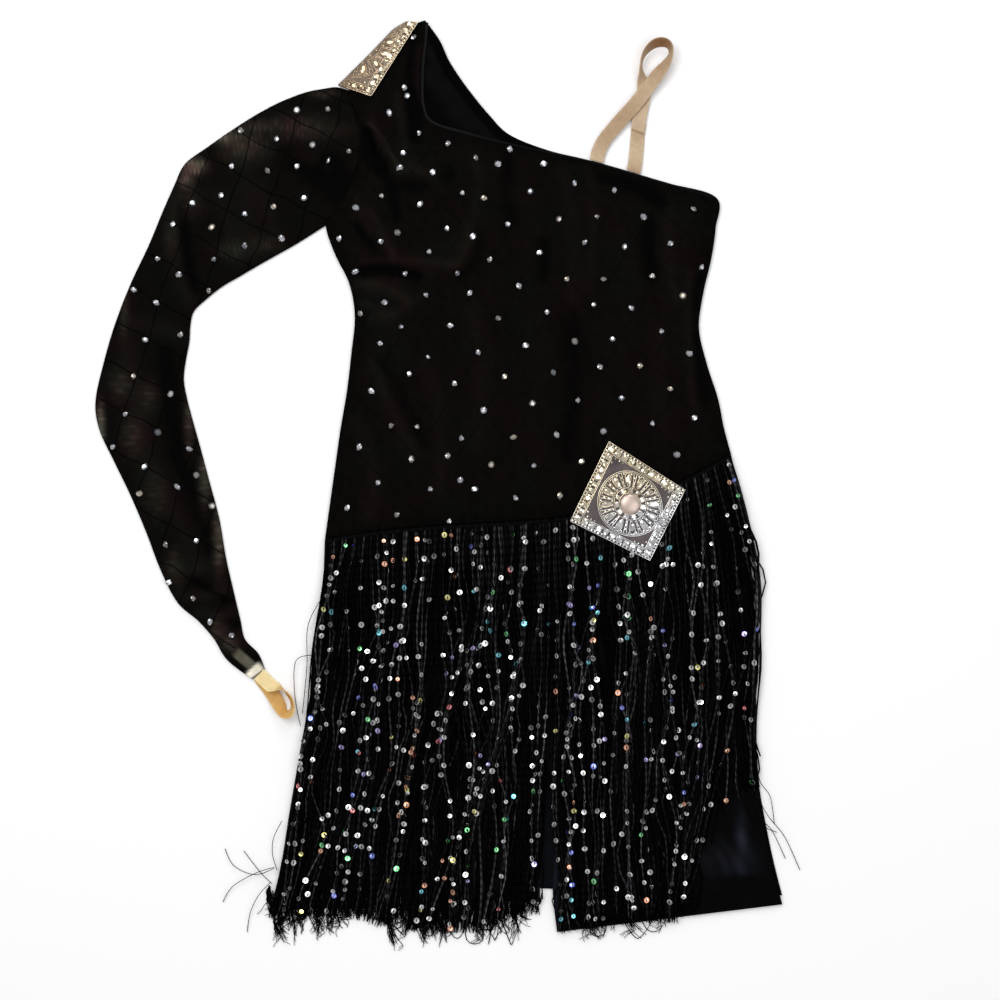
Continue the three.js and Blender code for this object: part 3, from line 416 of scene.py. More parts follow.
# Creases, finer and sharper; those with a height below 0 are troughs.
bodice_creases = (
    (-72, 326, -57, 318, -43, 284, 3.0, 3.4),
    (-76, 320, -72, 306, -60, 288, -3.4, 7),
    (-45, 352, -41, 330, -38, 308, 1.7, 6),
    (-34, 352, -27, 336, -31, 316, -2.2, 7),
    (-96, 332, -84, 330, -72, 327, 1.6, 3.5),
    (-42, 287, -28, 290, -12, 276, 1.7, 7),
    (-40, 272, -20, 268, 2, 282, -1.1, 6),
    (-31, 400, -36, 380, -33, 356, -1.3, 4),
    (-24, 396, -27, 376, -25, 350, 1.2, 3.5),
    (-52, 276, -50, 262, -46, 244, -1.2, 5),
    (-84, 262, -80, 242, -70, 230, 1.1, 5),
    (-70, 248, -62, 232, -50, 212, 1.9, 5),
    (-80, 236, -72, 218, -58, 206, -1.4, 5),
    (-84, 182, -62, 186, -38, 170, 2.4, 6),
    (-76, 194, -52, 199, -28, 190, -3.0, 5),
    (-60, 206, -20, 204, 8, 199, 1.5, 4),
    (17, 236, 22, 208, 2, 197, 1.6, 4),
    (28, 232, 32, 206, 12, 190, -1.0, 5),
    (-86, 166, -70, 166, -50, 152, 1.4, 5),
    (-69, 152, -51, 150, -23, 172, 1.1, 5),
    (-66, 108, -52, 70, -31, 34, 1.1, 7),
    (-58, 112, -40, 70, -20, 40, -1.0, 7),
    (26, 292, 30, 270, 24, 246, 1.0, 5),
    (54, 296, 50, 268, 58, 240, -1.0, 6),
    (85, 221, 88, 205, 85, 190, -1.4, 6),
    (104, 284, 118, 230, 112, 170, 1.0, 7),
    (128, 282, 134, 240, 126, 180, 0.9, 6),
    (181, 238, 178, 214, 184, 190, -1.5, 6),
    (140, 279, 168, 276, 193, 256, -1.6, 6),
    (200, 250, 192, 210, 206, 170, 1.0, 6),
    (218, 192, 214, 130, 222, 62, 1.2, 5),
    (228, 190, 222, 140, 232, 80, -1.0, 5),
    (20, 160, 40, 110, 24, 40, 0.9, 11),
    (110, 150, 118, 96, 108, 30, -0.9, 9),
    (190, 140, 186, 96, 196, 50, 0.9, 9),
    (-20, 110, 0, 60, -8, 0, 0.9, 9),
    (-84, 60, -60, 30, -70, -30, 1.0, 8),
)
# Trellis of the mesh: the two ways in which its lines run, and one crossing
TRELLIS_A = np.array([24.3, -25.2])
TRELLIS_B = np.array([-18.9, -30.6])
TRELLIS_START = np.array([64.5, 182.2])
TRELLIS_LINE = 0.035


def fold_height(x, y, folds):
    """Sum of soft ridges and troughs: each fold's height times exp(-(distance / width)^2) from its
    curve, which leaves its first point towards the second and ends at the third."""
    t = np.linspace(0, 1, FOLD_PARTS)[:, None]
    total = np.zeros_like(x)
    for fold in folds:
        start, by, end = (np.array(fold[k:k + 2], float) for k in (0, 2, 4))
        path = (1 - t) ** 2 * start + 2 * t * (1 - t) * by + t ** 2 * end
        total += fold[6] * np.exp(-(distance_to(path, x, y) / fold[7]) ** 2)
    return total


def trellis(finish, first_way, second_way, start, line, places):
    """1 on the lines of a trellis and 0 between them: a place is measured in steps of the two line
    ways, and it is on a line where either measure is near a whole number."""
    turned = first_way[0] * second_way[1] - first_way[1] * second_way[0]
    lines = []
    for other, sign in ((second_way, 1), (first_way, -1)):
        across = np.array([other[1], -other[0]]) * sign / turned / MM
        steps = step(finish, "VectorMath", {0: places, 1: (across[0], across[1], 0)},
                     operation="DOT_PRODUCT").outputs["Value"]
        offset = 0.5 - float(np.dot(across * MM, start))
        part = reckon(finish, "FLOORED_MODULO", reckon(finish, "ADD", steps, offset), 1.0)
        near = reckon(finish, "ABSOLUTE", reckon(finish, "SUBTRACT", part, 0.5))
        edge = step(finish, "MapRange", {"Value": near, "From Min": line, "From Max": line * 0.4})
        lines.append(edge.outputs["Result"])
    return reckon(finish, "MAXIMUM", *lines)


def wandering(finish, reach, size):
    """Object places moved a little by noise, so that printed lines aren't ruled straight."""
    places = step(finish, "TexCoord", {}).outputs["Object"]
    noise = step(finish, "TexNoise", {"Vector": places, "Scale": 1 / size, "Detail": 1.0})
    centred = step(finish, "VectorMath", {0: noise.outputs["Color"], 1: (0.5, 0.5, 0.5)},
                   operation="SUBTRACT").outputs[0]
    moved = step(finish, "VectorMath", {0: centred, "Scale": reach}, operation="SCALE").outputs[0]
    return step(finish, "VectorMath", {0: places, 1: moved}, operation="ADD").outputs[0]


def stretch_mesh(name, thread, patch, grounds, ways, line, wander, flock):
    """A finish and its colour: threads of a pitch and depth, a ground that wanders between several
    colours over patches, and on it a trellis of flocked lines that wander a little too."""
    finish = new_finish(name, (0.003, 0.002, 0.002), 0.7, 0.02)
    weave(finish, *thread)
    ground = patches(finish, patch, grounds)
    lines = trellis(finish, *ways, line, wandering(finish, *wander))
    mixed = step(finish, "MixRGB", {"Fac": lines, "Color1": ground, "Color2": (*flock, 1)})
    return finish, mixed.outputs["Color"]


mesh_finish, mesh_color = stretch_mesh(
    "flocked_mesh", (0.7, 0.12), 0.045,
    [(0.0037, 0.0019, 0.0017), (0.0029, 0.0022, 0.0017), (0.0024, 0.0027, 0.0019)],
    (TRELLIS_A, TRELLIS_B, TRELLIS_START), TRELLIS_LINE, (0.009, 0.035), (0.0021, 0.0017, 0.0014))
shaded(mesh_finish, mesh_color)

front_x, front_y = section_grid(bodice_sections, FRONT_ROWS, FRONT_COLUMNS)
front_outline = outline_of(*section_grid(bodice_sections, OUTLINE_ROWS, OUTLINE_COLUMNS))


def front_relief(x, y):
    """Heights of the bodice front's puff and soft folds, and of its creases, which are flat at its
    seams."""
    from_seam = distance_to(front_outline, x, y)
    soft = BODICE_PUFF + fold_height(x, y, bodice_folds) + 0.5 * uneven(x, y, 46, 3)
    crease = fold_height(x, y, bodice_creases) + 0.22 * uneven(x, y, 17, 4)
    return smoothstep(from_seam, 0, EDGE_RISE) * soft, smoothstep(from_seam, 0, 6) * crease


def raised_front(y, soft, crease):
    """Height of the bodice front's outside: its seams' height, the lift and its relief."""
    return FRONT_TOP + shoulder_lift(y) + np.maximum(soft + crease, LEAST_RELIEF)


def front_top(x, y):
    """Height of the bodice front's outside at plan places."""
    return raised_front(y, *front_relief(x, y))


front_soft, front_crease = front_relief(front_x, front_y)
front_high = raised_front(front_y, front_soft, front_crease)
front_low = np.maximum(front_high - SHELL, LOWEST_INSIDE + shoulder_lift(front_y))
# Painted shade: the cloth is painted paler on its folds and creases and darker down in its troughs.
front_shading = 0.55 + 0.12 * front_soft + 0.52 * front_crease + 0.22 * uneven(front_x, front_y, 9, 7)
bodice_front = cloth_panel("bodice_front_cloth", (front_x, front_y), front_high, front_low,
                           mesh_finish, np.clip(front_shading, 0.15, 3.6), "mesh", "bodice_front")


def unit(ways):
    """Ways scaled to a length of 1."""
    return ways / np.maximum(np.linalg.norm(ways, axis=-1, keepdims=True), 1e-9)


def beside(ways):
    """Level ways to the left of others: straight up crossed with each."""
    return np.cross(np.broadcast_to((0.0, 0.0, 1.0), ways.shape), ways)


def ring_wall(at):
    """Faces between each ring of numbered points and the next, all round."""
    after = np.roll(at, -1, axis=-1)
    corners = [at[..., :-1, :], after[..., :-1, :], after[..., 1:, :], at[..., 1:, :]]
    return np.stack(corners, -1).reshape(-1, 4)


def strands_mesh(paths, half_wide, high, corners):
    """Closed strands along many paths of as many points each. The section is half a polygon's turn:
    its corners stand at equal angles, half_wide out to the side and high above the flat bottom."""
    count, stations, _ = paths.shape
    way = unit(np.gradient(paths, axis=1))
    side = unit(beside(way))
    up = np.cross(way, side)
    angle = np.pi * np.arange(corners) / (corners - 1)
    half_wide = np.broadcast_to(half_wide, (count, stations))[..., None, None]
    high = np.broadcast_to(high, (count, stations))[..., None, None]
    ring = (paths[:, :, None, :] + side[:, :, None, :] * np.cos(angle)[:, None] * half_wide
            + up[:, :, None, :] * np.sin(angle)[:, None] * high)
    at = np.arange(count * stations * corners).reshape(count, stations, corners)
    caps = np.vstack([at[:, 0, ::-1], at[:, -1]])
    reach = np.cumsum(np.linalg.norm(np.diff(paths, axis=1, prepend=paths[:, :1]), axis=-1), 1)
    around = np.linspace(0, 2, corners)
    cloth = np.stack(np.broadcast_arrays(reach[..., None] * MM, around * MM), -1)
    return ring.reshape(-1, 3), [ring_wall(at), caps], cloth.reshape(-1, 2)


def strand_piece(name, paths, half_wide, high, corners, finish, tint, slot, *nodes):
    """Strands along many paths as one piece, with a gray tint for all or for each station."""
    points, faces, uv = strands_mesh(paths, half_wide, high, corners)
    tint = gray(np.broadcast_to(tint, paths.shape[:2]), corners)
    fit(new_piece(name, points, faces, finish, uv, tint), slot, *nodes)


binding_finish = new_finish("neckline_binding", (0.006, 0.006, 0.007), 0.6, 0.05)
weave(binding_finish, 0.5, 0.1)
shaded(binding_finish, (0.0055, 0.0055, 0.0060))
binding_part = np.linspace(0, 1, BINDING_STATIONS)
binding_run = smooth_rows(bodice_sections[:NECKLINE_SECTIONS, 2:4], binding_part) + BINDING_OUT
binding_z = front_top(binding_run[:, 0] - 1, binding_run[:, 1] - 1)
binding_path = np.column_stack([binding_run, binding_z - 0.3])[None]
# The binding is painted paler along its first part, near the shoulder, as a highlight on its roll.
strand_piece("neckline_binding", binding_path, BINDING_HALF, BINDING_HIGH, BINDING_CORNERS,
             binding_finish, 1.1 - 0.95 * smoothstep(binding_part, 0.55, 0.72), "mesh")

# ---------------------------------------------------------------- stones on the bodice
# Foil-backed glass stones, each a low faceted crown, glued near the crossings of the trellis. Where
# the cloth is folded at the armhole, they lie closer together and at odd places.
STONE_RADIUS = 3.3
STONE_SIDES = 8
STONE_SINK = 0.1
STONE_LEAN = 0.34
STONE_SEED = 11
# x, y of each stone: where the cloth is folded, then where it is smooth
bodice_stones = np.array([
    (-31.5, 405.9), (-39, 360), (-36.5, 352.8), (-52.7, 337.5), (-26.1, 319.5), (0, 310),
    (25.2, 297), (45, 291.6), (56, 305), (-40.5, 301.5), (-43.2, 287.1), (-13.5, 284), (13.1, 265.5),
    (32.4, 260.6), (-59.8, 262.8), (-82.8, 252), (-25.2, 255.6), (54, 237.6), (-0.9, 233.5),
    (22.5, 225.9), (-45.3, 230), (-60.3, 221.4), (-17.1, 212.4), (37.4, 205.6), (-83.3, 194.4),
    (-38.7, 193), (8.5, 193), (19.8, 175.5), (-19.8, 173.7), (-98, 224.5),
    (86, 292), (74, 267), (114, 274), (150, 268), (100, 242), (134, 244), (176, 244), (221, 251),
    (123, 221), (159, 217), (200, 220), (82, 212), (107, 188), (140, 188), (184, 191), (228, 199),
    (-57, 167), (64, 182), (131, 165), (211, 173), (-79, 157), (-42, 145), (2, 146),
    (45, 153), (89, 158), (165, 162), (192, 141), (-61, 130), (-18, 118), (27, 122), (70, 128),
    (114, 132), (148, 134), (217, 121), (-35, 103), (6, 94), (51, 100), (95, 104), (137, 109),
    (173, 110), (200, 89), (-69, 87), (32, 70), (76, 76), (117, 79), (156, 81), (222, 63), (-51, 56),
    (-28, 55), (12, 45), (59, 46), (98, 48), (140, 51), (184, 58), (-80, 37), (-33, 26), (0, 29),
    (39, 21), (77, 20), (120, 24), (206, 30), (-63, 5), (-16, -1), (11, 7), (24, -1), (61, -9),
    (101, -7), (-91, -18), (-46, -24), (1, -30),
])


def faceted_stone(sides=STONE_SIDES, table=0.5, girdle=0.25, crown=0.62):
    """A round stone of radius 1: a table over a ring of crown facets, a straight girdle and a flat
    back. Its first point is the table's middle and its last the back's."""
    turn = 2 * np.pi * np.arange(sides) / sides
    shift = turn + np.pi / sides
    flat = np.zeros(sides)
    points = np.vstack([
        [(0, 0, crown)],
        np.stack([table * np.cos(turn), table * np.sin(turn), flat + crown], 1),
        np.stack([np.cos(shift), np.sin(shift), flat + girdle], 1),
        np.stack([np.cos(shift), np.sin(shift), flat], 1),
        [(0, 0, 0)],
    ])
    k = np.arange(sides)
    n = (k + 1) % sides
    top, rim, back, last = 1, 1 + sides, 1 + 2 * sides, 1 + 3 * sides
    faces = np.vstack([
        np.stack([0 * k, top + k, top + n], 1),
        np.stack([top + k, rim + k, top + n], 1),
        np.stack([rim + k, rim + n, top + n], 1),
        np.stack([rim + k, back + k, rim + n], 1),
        np.stack([back + k, back + n, rim + n], 1),
        np.stack([0 * k + last, back + n, back + k], 1),
    ])
    return points, faces


def scatter_copies(template, centres, normals, headings, sizes):
    """Copies of a small form: its x runs along each heading laid onto the surface, its z along the
    normal, and sizes scale its three ways."""
    points, faces = template
    normals = unit(normals)
    along = unit(headings - (headings * normals).sum(1, keepdims=True) * normals)
    turn = np.stack([along, np.cross(normals, along), normals], 1) * np.asarray(sizes)[..., None]
    placed = centres[:, None, :] + np.einsum("pk,nkj->npj", points, turn)
    offsets = np.arange(len(centres))[:, None, None] * len(points)
    return placed.reshape(-1, 3), (faces[None] + offsets).reshape(-1, faces.shape[1])


def surface_normals(height, x, y, gap=1.5):
    """Normals of a surface given as a height function, from its slopes over a small gap."""
    dx = (height(x + gap, y) - height(x - gap, y)) / (2 * gap)
    dy = (height(x, y + gap) - height(x, y - gap)) / (2 * gap)
    return np.stack([-dx, -dy, np.ones_like(dx)], -1)


def random_headings(draw, count):
    """A seeded direction in plan for each copy."""
    angle = draw.uniform(0, 2 * np.pi, count)
    return np.stack([np.cos(angle), np.sin(angle), 0 * angle], -1)


def tinted(draw, colors, shares, count, each):
    """A seeded choice of colour for each copy, repeated for each of its points."""
    chosen = np.array(colors)[draw.choice(len(colors), count, p=shares)]
    chosen = chosen * draw.uniform(0.75, 1.0, (count, 1))
    return np.repeat(chosen, each, axis=0)


def painted_facet_light(draw, colors, least):
    """Each stone's colour on its points, with painted light and shade: bright on the table as a
    painted highlight, duller by a seeded share round the crown's lower edge as painted shade, and
    dark behind."""
    count = len(colors)
    shares = np.hstack([draw.uniform(0.85, 1.0, (count, 1)),
                        draw.uniform(0.6, 1.0, (count, STONE_SIDES)),
                        draw.uniform(least, least + 0.5, (count, STONE_SIDES)),
                        np.full((count, STONE_SIDES + 1), 0.15)])
    return (colors[:, None] * shares[..., None]).reshape(-1, 3)


def painted(finish):
    """The finish's base colour is the tint that a piece carries on its points."""
    tint = step(finish, "Attribute", {}, attribute_name="tint").outputs["Color"]
    feed(finish, "Base Color", tint)
    return finish


stone_finish = painted(new_finish("foiled_stone", (0.85, 0.85, 0.88), 0.14, 0.5, 1.0))
stone_colors = [(0.80, 0.81, 0.84), (0.50, 0.47, 0.44), (0.80, 0.72, 0.60), (0.30, 0.31, 0.34)]
stone_shares = [0.6, 0.18, 0.10, 0.12]


def glued_stones(name, places, height, normals, draw):
    """Stones at plan places on a surface, each a little sunk, tipped and turned its own way."""
    count = len(places)
    leans = normals + np.column_stack([draw.normal(0, STONE_LEAN, (count, 2)), np.zeros(count)])
    sizes = np.full((count, 3), STONE_RADIUS) * draw.uniform(0.82, 1.08, (count, 3))
    centres = np.column_stack([places, height - STONE_SINK])
    headings = random_headings(draw, count)
    points, faces = scatter_copies(faceted_stone(), centres, leans, headings, sizes)
    tint = painted_facet_light(draw, tinted(draw, stone_colors, stone_shares, count, 1), 0.1)
    stones = new_piece(name, points, [faces], stone_finish, smooth=False, tint=tint)
    fit(stones, "rhinestone")


draw = np.random.default_rng(STONE_SEED)
glued_stones("bodice_stones", bodice_stones, front_top(*bodice_stones.T),
             surface_normals(front_top, *bodice_stones.T), draw)

# ---------------------------------------------------------------- sleeve
# The long sleeve: a tube of the same sheer mesh without a lining, set into the armhole, lying
# flattened and bent, with fine gathers along its edges and ruched folds at the wrist.
SLEEVE_EDGE = 1.3
SLEEVE_SHELL = 0.5
SLEEVE_LOW = 0.15
SLEEVE_LONG = 640
SLEEVE_ROWS, SLEEVE_ROUND = 300, 72
ARMHOLE_FIRST, ARMHOLE_SECTIONS = 4, 6
# outerX, outerY, innerX, innerY, rise
sleeve_sections = np.array([
    (-90, 357, -111, 237, 3.4),
    (-119, 358.5, -122, 229, 4.6),
    (-146, 350, -138, 219, 5.4),
    (-170, 338, -154, 210, 5.6),
    (-194, 323, -170, 201, 5.4),
    (-217, 307, -187, 191, 5.2),
    (-237, 292, -204, 181, 5.2),
    (-247, 272, -219, 169, 5.6),
    (-258, 247, -229, 159, 5.8),
    (-270, 218, -232, 147, 5.8),
    (-286, 184, -233, 132, 5.4),
    (-300, 148, -236, 116, 5),
    (-310, 114, -238, 98, 5),
    (-317.7, 78, -235, 80, 5),
    (-314, 52, -230, 61, 5.2),
    (-301, 24, -223, 36, 5),
    (-286, -7, -215, 6, 4.8),
    (-272, -40, -206, -28, 4.8),
    (-259, -74, -200, -63, 5.2),
    (-244, -103, -192, -98, 5.6),
    (-225, -120, -187, -119, 5.8),
    (-211, -136, -183, -136, 5.4),
    (-199, -155, -171, -149, 4.6),
    (-176.5, -172.4, -165, -163, 3.4),
], float)
sleeve_folds = (
    (-246, 262, -250, 220, -233, 170, 1.6, 9),
    (-290, 150, -262, 146, -240, 136, 1.2, 8),
    (-190, 318, -180, 270, -178, 214, 1, 12),
    (-250, -72, -226, -78, -204, -66, 1.3, 7),
    (-238, -98, -214, -100, -196, -88, 1.5, 6),
    (-224, -112, -206, -118, -190, -110, 1.5, 5),
    (-208, -132, -198, -138, -186, -132, 1.2, 5),
    (-238, 256, -240, 214, -228, 178, -1.8, 6),
    (-150, 300, -120, 286, -96, 262, -1.6, 9),
    (-110, 292, -100, 300, -92, 268, -1.6, 8),
    (-150, 330, -120, 318, -88, 322, 1.2, 8),
    (-200, 300, -160, 306, -110, 290, 1.1, 7),
    (-206, 262, -196, 240, -190, 206, 1.0, 8),
    (-168, 268, -160, 240, -150, 218, 0.9, 7),
    (-290, 130, -276, 70, -270, 10, 1.2, 10),
    (-254, 120, -250, 60, -236, 20, -1.1, 9),
    (-262, 10, -240, -30, -226, -70, 1.0, 8),
    (-244, 30, -226, -10, -212, -56, -0.9, 7),
    (-228, -84, -214, -90, -200, -102, -1.4, 4),
    (-214, -124, -202, -128, -188, -120, -1.2, 4),
    (-204, -146, -190, -146, -176, -142, 0.9, 4),
)
# Gathers: where along the sleeve they start and end, on which edge (0 outer, 1 inner) and how deep
sleeve_gathers = (
    (0.20, 0.30, 0, 0.7),
    (0.40, 0.52, 0, 0.4),
    (0.50, 0.62, 0, 0.6),
    (0.38, 0.48, 1, 0.5),
    (0.52, 0.80, 1, 0.7),
)
GATHER_PITCH = 3.6
GATHER_WAVER = 11
GATHER_DEPTH = 0.13
CAP_X = -100
CAP_RISE = 3.0
CAP_WIDE = 11
# Stones across the sleeve: fromX, fromY, toX, toY, count
sleeve_stone_rows = (
    (-137.3, 340.2, -107.7, 340.4, 2),
    (-185, 321, -89.3, 302.6, 4),
    (-194.9, 288.5, -163.5, 284.9, 2),
    (-136.5, 290, -107, 294.8, 2),
    (-230, 256, -202.5, 261, 2),
    (-246.2, 237.3, -213.3, 235.8, 2),
    (-182.4, 248.1, -129.6, 261, 3),
    (-261, 205.4, -211.7, 205.8, 2),
    (-182.9, 218.3, -149.6, 223.8, 2),
    (-282.8, 178.7, -241.8, 191.3, 2),
    (-262.1, 166.5, -215.7, 176.4, 2),
    (-273.3, 134.7, -240.8, 137.3, 2),
    (-282.3, 99.9, -250.2, 84.2, 2),
    (-290.3, 66.2, -232.2, 36.2, 3),
    (-302.8, 36.9, -213.5, -15.8, 4),
    (-279, -5, -226.5, 11.7, 2),
    (-253.8, -50.9, -227.7, -49.1, 2),
    (-250.2, -85.1, -229.7, -98.4, 2),
    (-213.3, -120, -192.8, -133, 2),
)

# Painted light: where one thickness of mesh lies over the pale floor, the floor's light showing
# through is painted on it as tan, and where it is drawn up in gathers painted glints make it paler.
PALENESS = 0.7
# x, y, half width, half height, how much paler
sheer_patches = (
    (-112, 355, 11, 4, 9),
    (-133, 324, 26, 10, 9),
    (-172, 326, 16, 5, 10),
    (-183, 309, 17, 12, 14),
    (-201, 316, 9, 5, 42),
    (-228, 290, 8, 6, 70),
    (-236, 278, 6, 7, 34),
    (-232, 258, 10, 12, 7),
    (-194, 214, 14, 7, 7),
    (-165, 219, 12, 7, 6),
    (-250, 226, 6, 14, 5),
    (-292, 173, 4, 30, 12),
    (-295, 93, 9, 13, 9),
    (-269, 83, 8, 12, 7),
    (-313, 57, 3.5, 15, 55),
    (-284, 47, 9, 17, 9),
    (-233, 63, 4, 24, 18),
    (-219, 12, 4.5, 22, 26),
    (-206, -44, 4.5, 24, 30),
    (-263, -8, 10, 18, 6),
    (-246, -72, 7, 15, 8),
    (-208, -128, 8, 9, 16),
    (-196, -140, 6, 6, 22),
)
# What shows through the mesh at the wrist, its turned-in facing and the finger loop's sewn end:
# x, y, turn in degrees, half length, half width, colour
cuff_patches = (
    (-183.5, -154.3, -42, 10.5, 4.6, (0.105, 0.098, 0.070)),
    (-174.2, -165.9, 43, 8.4, 4.4, (0.98, 0.91, 0.74)),
)
WRIST_HEM = 2.1
# The sleeve's trellis: the two ways in which its lines run, and one crossing
SLEEVE_TRELLIS_A = np.array([30.0, -16.5])
SLEEVE_TRELLIS_B = np.array([-10.5, -33.0])
SLEEVE_TRELLIS_START = np.array([-250.2, 84.2])
SLEEVE_TRELLIS_LINE = 0.03

sheer_finish, sheer_color = stretch_mesh(
    "sheer_mesh", (0.9, 0.15), 0.03,
    [(0.0036, 0.0020, 0.0018), (0.0031, 0.0025, 0.0019), (0.0026, 0.0028, 0.0020)],
    (SLEEVE_TRELLIS_A, SLEEVE_TRELLIS_B, SLEEVE_TRELLIS_START), SLEEVE_TRELLIS_LINE,
    (0.012, 0.04), (0.0008, 0.0007, 0.0006))
through = step(sheer_finish, "Attribute", {}, attribute_name="shown_through")
shaded(sheer_finish, sheer_color, through.outputs["Color"])

t = np.linspace(0, 1, SLEEVE_ROWS)
v = np.linspace(0, 1, SLEEVE_ROUND + 1)
row = smooth_rows(sleeve_sections, t)[:, None, :]
armhole_part = (ARMHOLE_FIRST + ARMHOLE_SECTIONS * v) / (len(bodice_sections) - 1)
armhole = smooth_rows(bodice_sections, armhole_part)[:, :2] + (0.5, 0)
first = sleeve_sections[0]
straight = first[:2] + (first[2:4] - first[:2]) * v[:, None]
bend = np.clip(1 - t * (len(sleeve_sections) - 1), 0, 1)[:, None, None] * (armhole - straight)
plan = row[..., :2] + (row[..., 2:4] - row[..., :2]) * v[:, None] + bend
sleeve_x, sleeve_y = plan[..., 0], plan[..., 1]
# The sleeve's cap is eased up to the applique at the shoulder.
sleeve_y = sleeve_y + CAP_RISE * np.exp(-((sleeve_x - CAP_X) / CAP_WIDE) ** 2) * (1 - v) ** 4
wide = np.linalg.norm(row[..., 2:4] - row[..., :2], axis=-1, keepdims=True)[..., 0]
swell = np.sin(np.pi * v) ** 0.5
creases = fold_height(sleeve_x, sleeve_y, sleeve_folds) + 0.3 * uneven(sleeve_x, sleeve_y, 12, 9)
relief = creases + 0.5 * uneven(sleeve_x, sleeve_y, 30, 8)
long = t * SLEEVE_LONG
gather_turn = 2 * np.pi * long / GATHER_PITCH
waver = np.sin(long / GATHER_WAVER)
gather = np.zeros_like(sleeve_x)
for start, end, edge, deep in sleeve_gathers:
    span = smoothstep(t, start - 0.02, start + 0.02) * (1 - smoothstep(t, end - 0.02, end + 0.02))
    near = np.exp(-((v - edge) / GATHER_DEPTH) ** 2)
    gather += (span * np.sin(gather_turn + 2 * waver))[:, None] * near * deep
high = SLEEVE_EDGE + swell * np.maximum(row[..., 4] - SLEEVE_EDGE + relief, 0.8)
high = high + gather * np.sin(np.pi * v) ** 0.3
low = SLEEVE_LOW + (SLEEVE_EDGE - SLEEVE_LOW) * (1 - np.sin(np.pi * v)) ** 8
low = np.broadcast_to(low, high.shape)


def tube_ring(x, y, top, bottom):
    """Rings round a flattened tube: over its top and back along its underside."""
    over = np.stack([x, y, top], -1)
    under = np.stack([x, y, bottom], -1)[:, -2:0:-1]
    return np.concatenate([over, under], 1)


inset = (0.5 - v) * 2 * SLEEVE_SHELL / wide
inner_x = sleeve_x + (row[..., 2] - row[..., 0]) * inset
inner_y = sleeve_y + (row[..., 3] - row[..., 1]) * inset
outer_rings = tube_ring(sleeve_x, sleeve_y, high, low)
thin = SLEEVE_SHELL * np.sin(np.pi * v) ** 0.3
inner_rings = tube_ring(inner_x, inner_y, np.maximum(high - thin, low + thin + 0.1), low + thin)
around = outer_rings.shape[1]
at = np.arange(SLEEVE_ROWS * around).reshape(SLEEVE_ROWS, around)
after = np.roll(at, -1, axis=1)
outer_wall = np.roll(ring_wall(at)[:, ::-1], 1, axis=1)
ends = [np.stack([at[0], after[0], after[0] + at.size, at[0] + at.size], -1),
        np.stack([at[-1], at[-1] + at.size, after[-1] + at.size, after[-1]], -1)]
sleeve_points = np.vstack([outer_rings.reshape(-1, 3), inner_rings.reshape(-1, 3)])
sleeve_faces = np.vstack([outer_wall, outer_wall[:, ::-1] + at.size, *ends])
# Painted glints: short pale ticks between the gathers, which fade in and out
gather_glints = np.sin((gather_turn + 1.6 * waver)[:, None] + 2.5 * v)
gather_glints = np.clip(0.35 + gather_glints, 0, 1)
gather_glints = gather_glints * np.clip(0.55 + 1.9 * uneven(sleeve_x, sleeve_y, 9, 12), 0, 1.3)
painted_pale = np.zeros_like(sleeve_x)
for centre_x, centre_y, half_wide, half_high, paler in sheer_patches:
    away = ((sleeve_x - centre_x) / half_wide) ** 2 + ((sleeve_y - centre_y) / half_high) ** 2
    painted_pale += PALENESS * paler * np.exp(-away) * (0.45 + 0.55 * gather_glints)
# Painted shade: the sleeve's top is painted paler on its folds and darker in its creases' troughs,
# and paler still where painted light shows through or glints.
sleeve_top_shading = np.clip(0.75 + 0.42 * creases + 0.15 * relief, 0.2, 3.2) + painted_pale
sleeve_tint = np.concatenate([sleeve_top_shading, np.full_like(sleeve_top_shading, 0.7)[:, -2:0:-1]], 1)
shown_through = np.zeros((*outer_rings.shape[:2], 3))
thickness = np.clip(0.95 + 0.5 * uneven(sleeve_x, sleeve_y, 10, 13), 0, 1.1)
thickness *= smoothstep((1 - t[:, None]) * SLEEVE_LONG, WRIST_HEM * 0.7, WRIST_HEM * 1.4)
for centre_x, centre_y, turn, half_long, half_wide, color in cuff_patches:
    cos, sin = np.cos(np.radians(turn)), np.sin(np.radians(turn))
    along = ((sleeve_x - centre_x) * cos + (sleeve_y - centre_y) * sin) / half_long
    across = ((sleeve_y - centre_y) * cos - (sleeve_x - centre_x) * sin) / half_wide
    cover = np.exp(-(along ** 6 + across ** 6)) * thickness
    shown_through[:, :SLEEVE_ROUND + 1] += cover[..., None] * color
round_the_arm = np.cumsum(np.full(around, 1.6))
ring_uv = np.stack(np.broadcast_arrays(long[:, None], round_the_arm), -1).reshape(-1, 2)
sleeve = new_piece("sleeve_cloth", sleeve_points, [sleeve_faces], sheer_finish,
                   np.tile(ring_uv, (2, 1)) * MM, on_both(sleeve_tint))
color_points(sleeve.data, "shown_through", np.tile(shown_through.reshape(-1, 3), (2, 1)))
fit(sleeve, "mesh", "sleeve")

sleeve_places = []
for from_x, from_y, to_x, to_y, count in sleeve_stone_rows:
    sleeve_places.append(np.linspace((from_x, from_y), (to_x, to_y), count))
sleeve_places = np.vstack(sleeve_places)
sleeve_places = sleeve_places + draw.normal(0, 0.8, sleeve_places.shape)
gap = np.hypot(sleeve_places[:, :1] - sleeve_x.ravel(), sleeve_places[:, 1:] - sleeve_y.ravel())
nearest = gap.argmin(1)
sleeve_z = high.ravel()[nearest]
slope = np.stack(np.gradient(high, axis=(0, 1)), -1).reshape(-1, 2)[nearest]
leans = np.column_stack([-0.3 * slope[:, 1], 0.3 * slope[:, 0], np.ones(len(nearest))])
glued_stones("sleeve_stones", sleeve_places, sleeve_z, leans, draw)

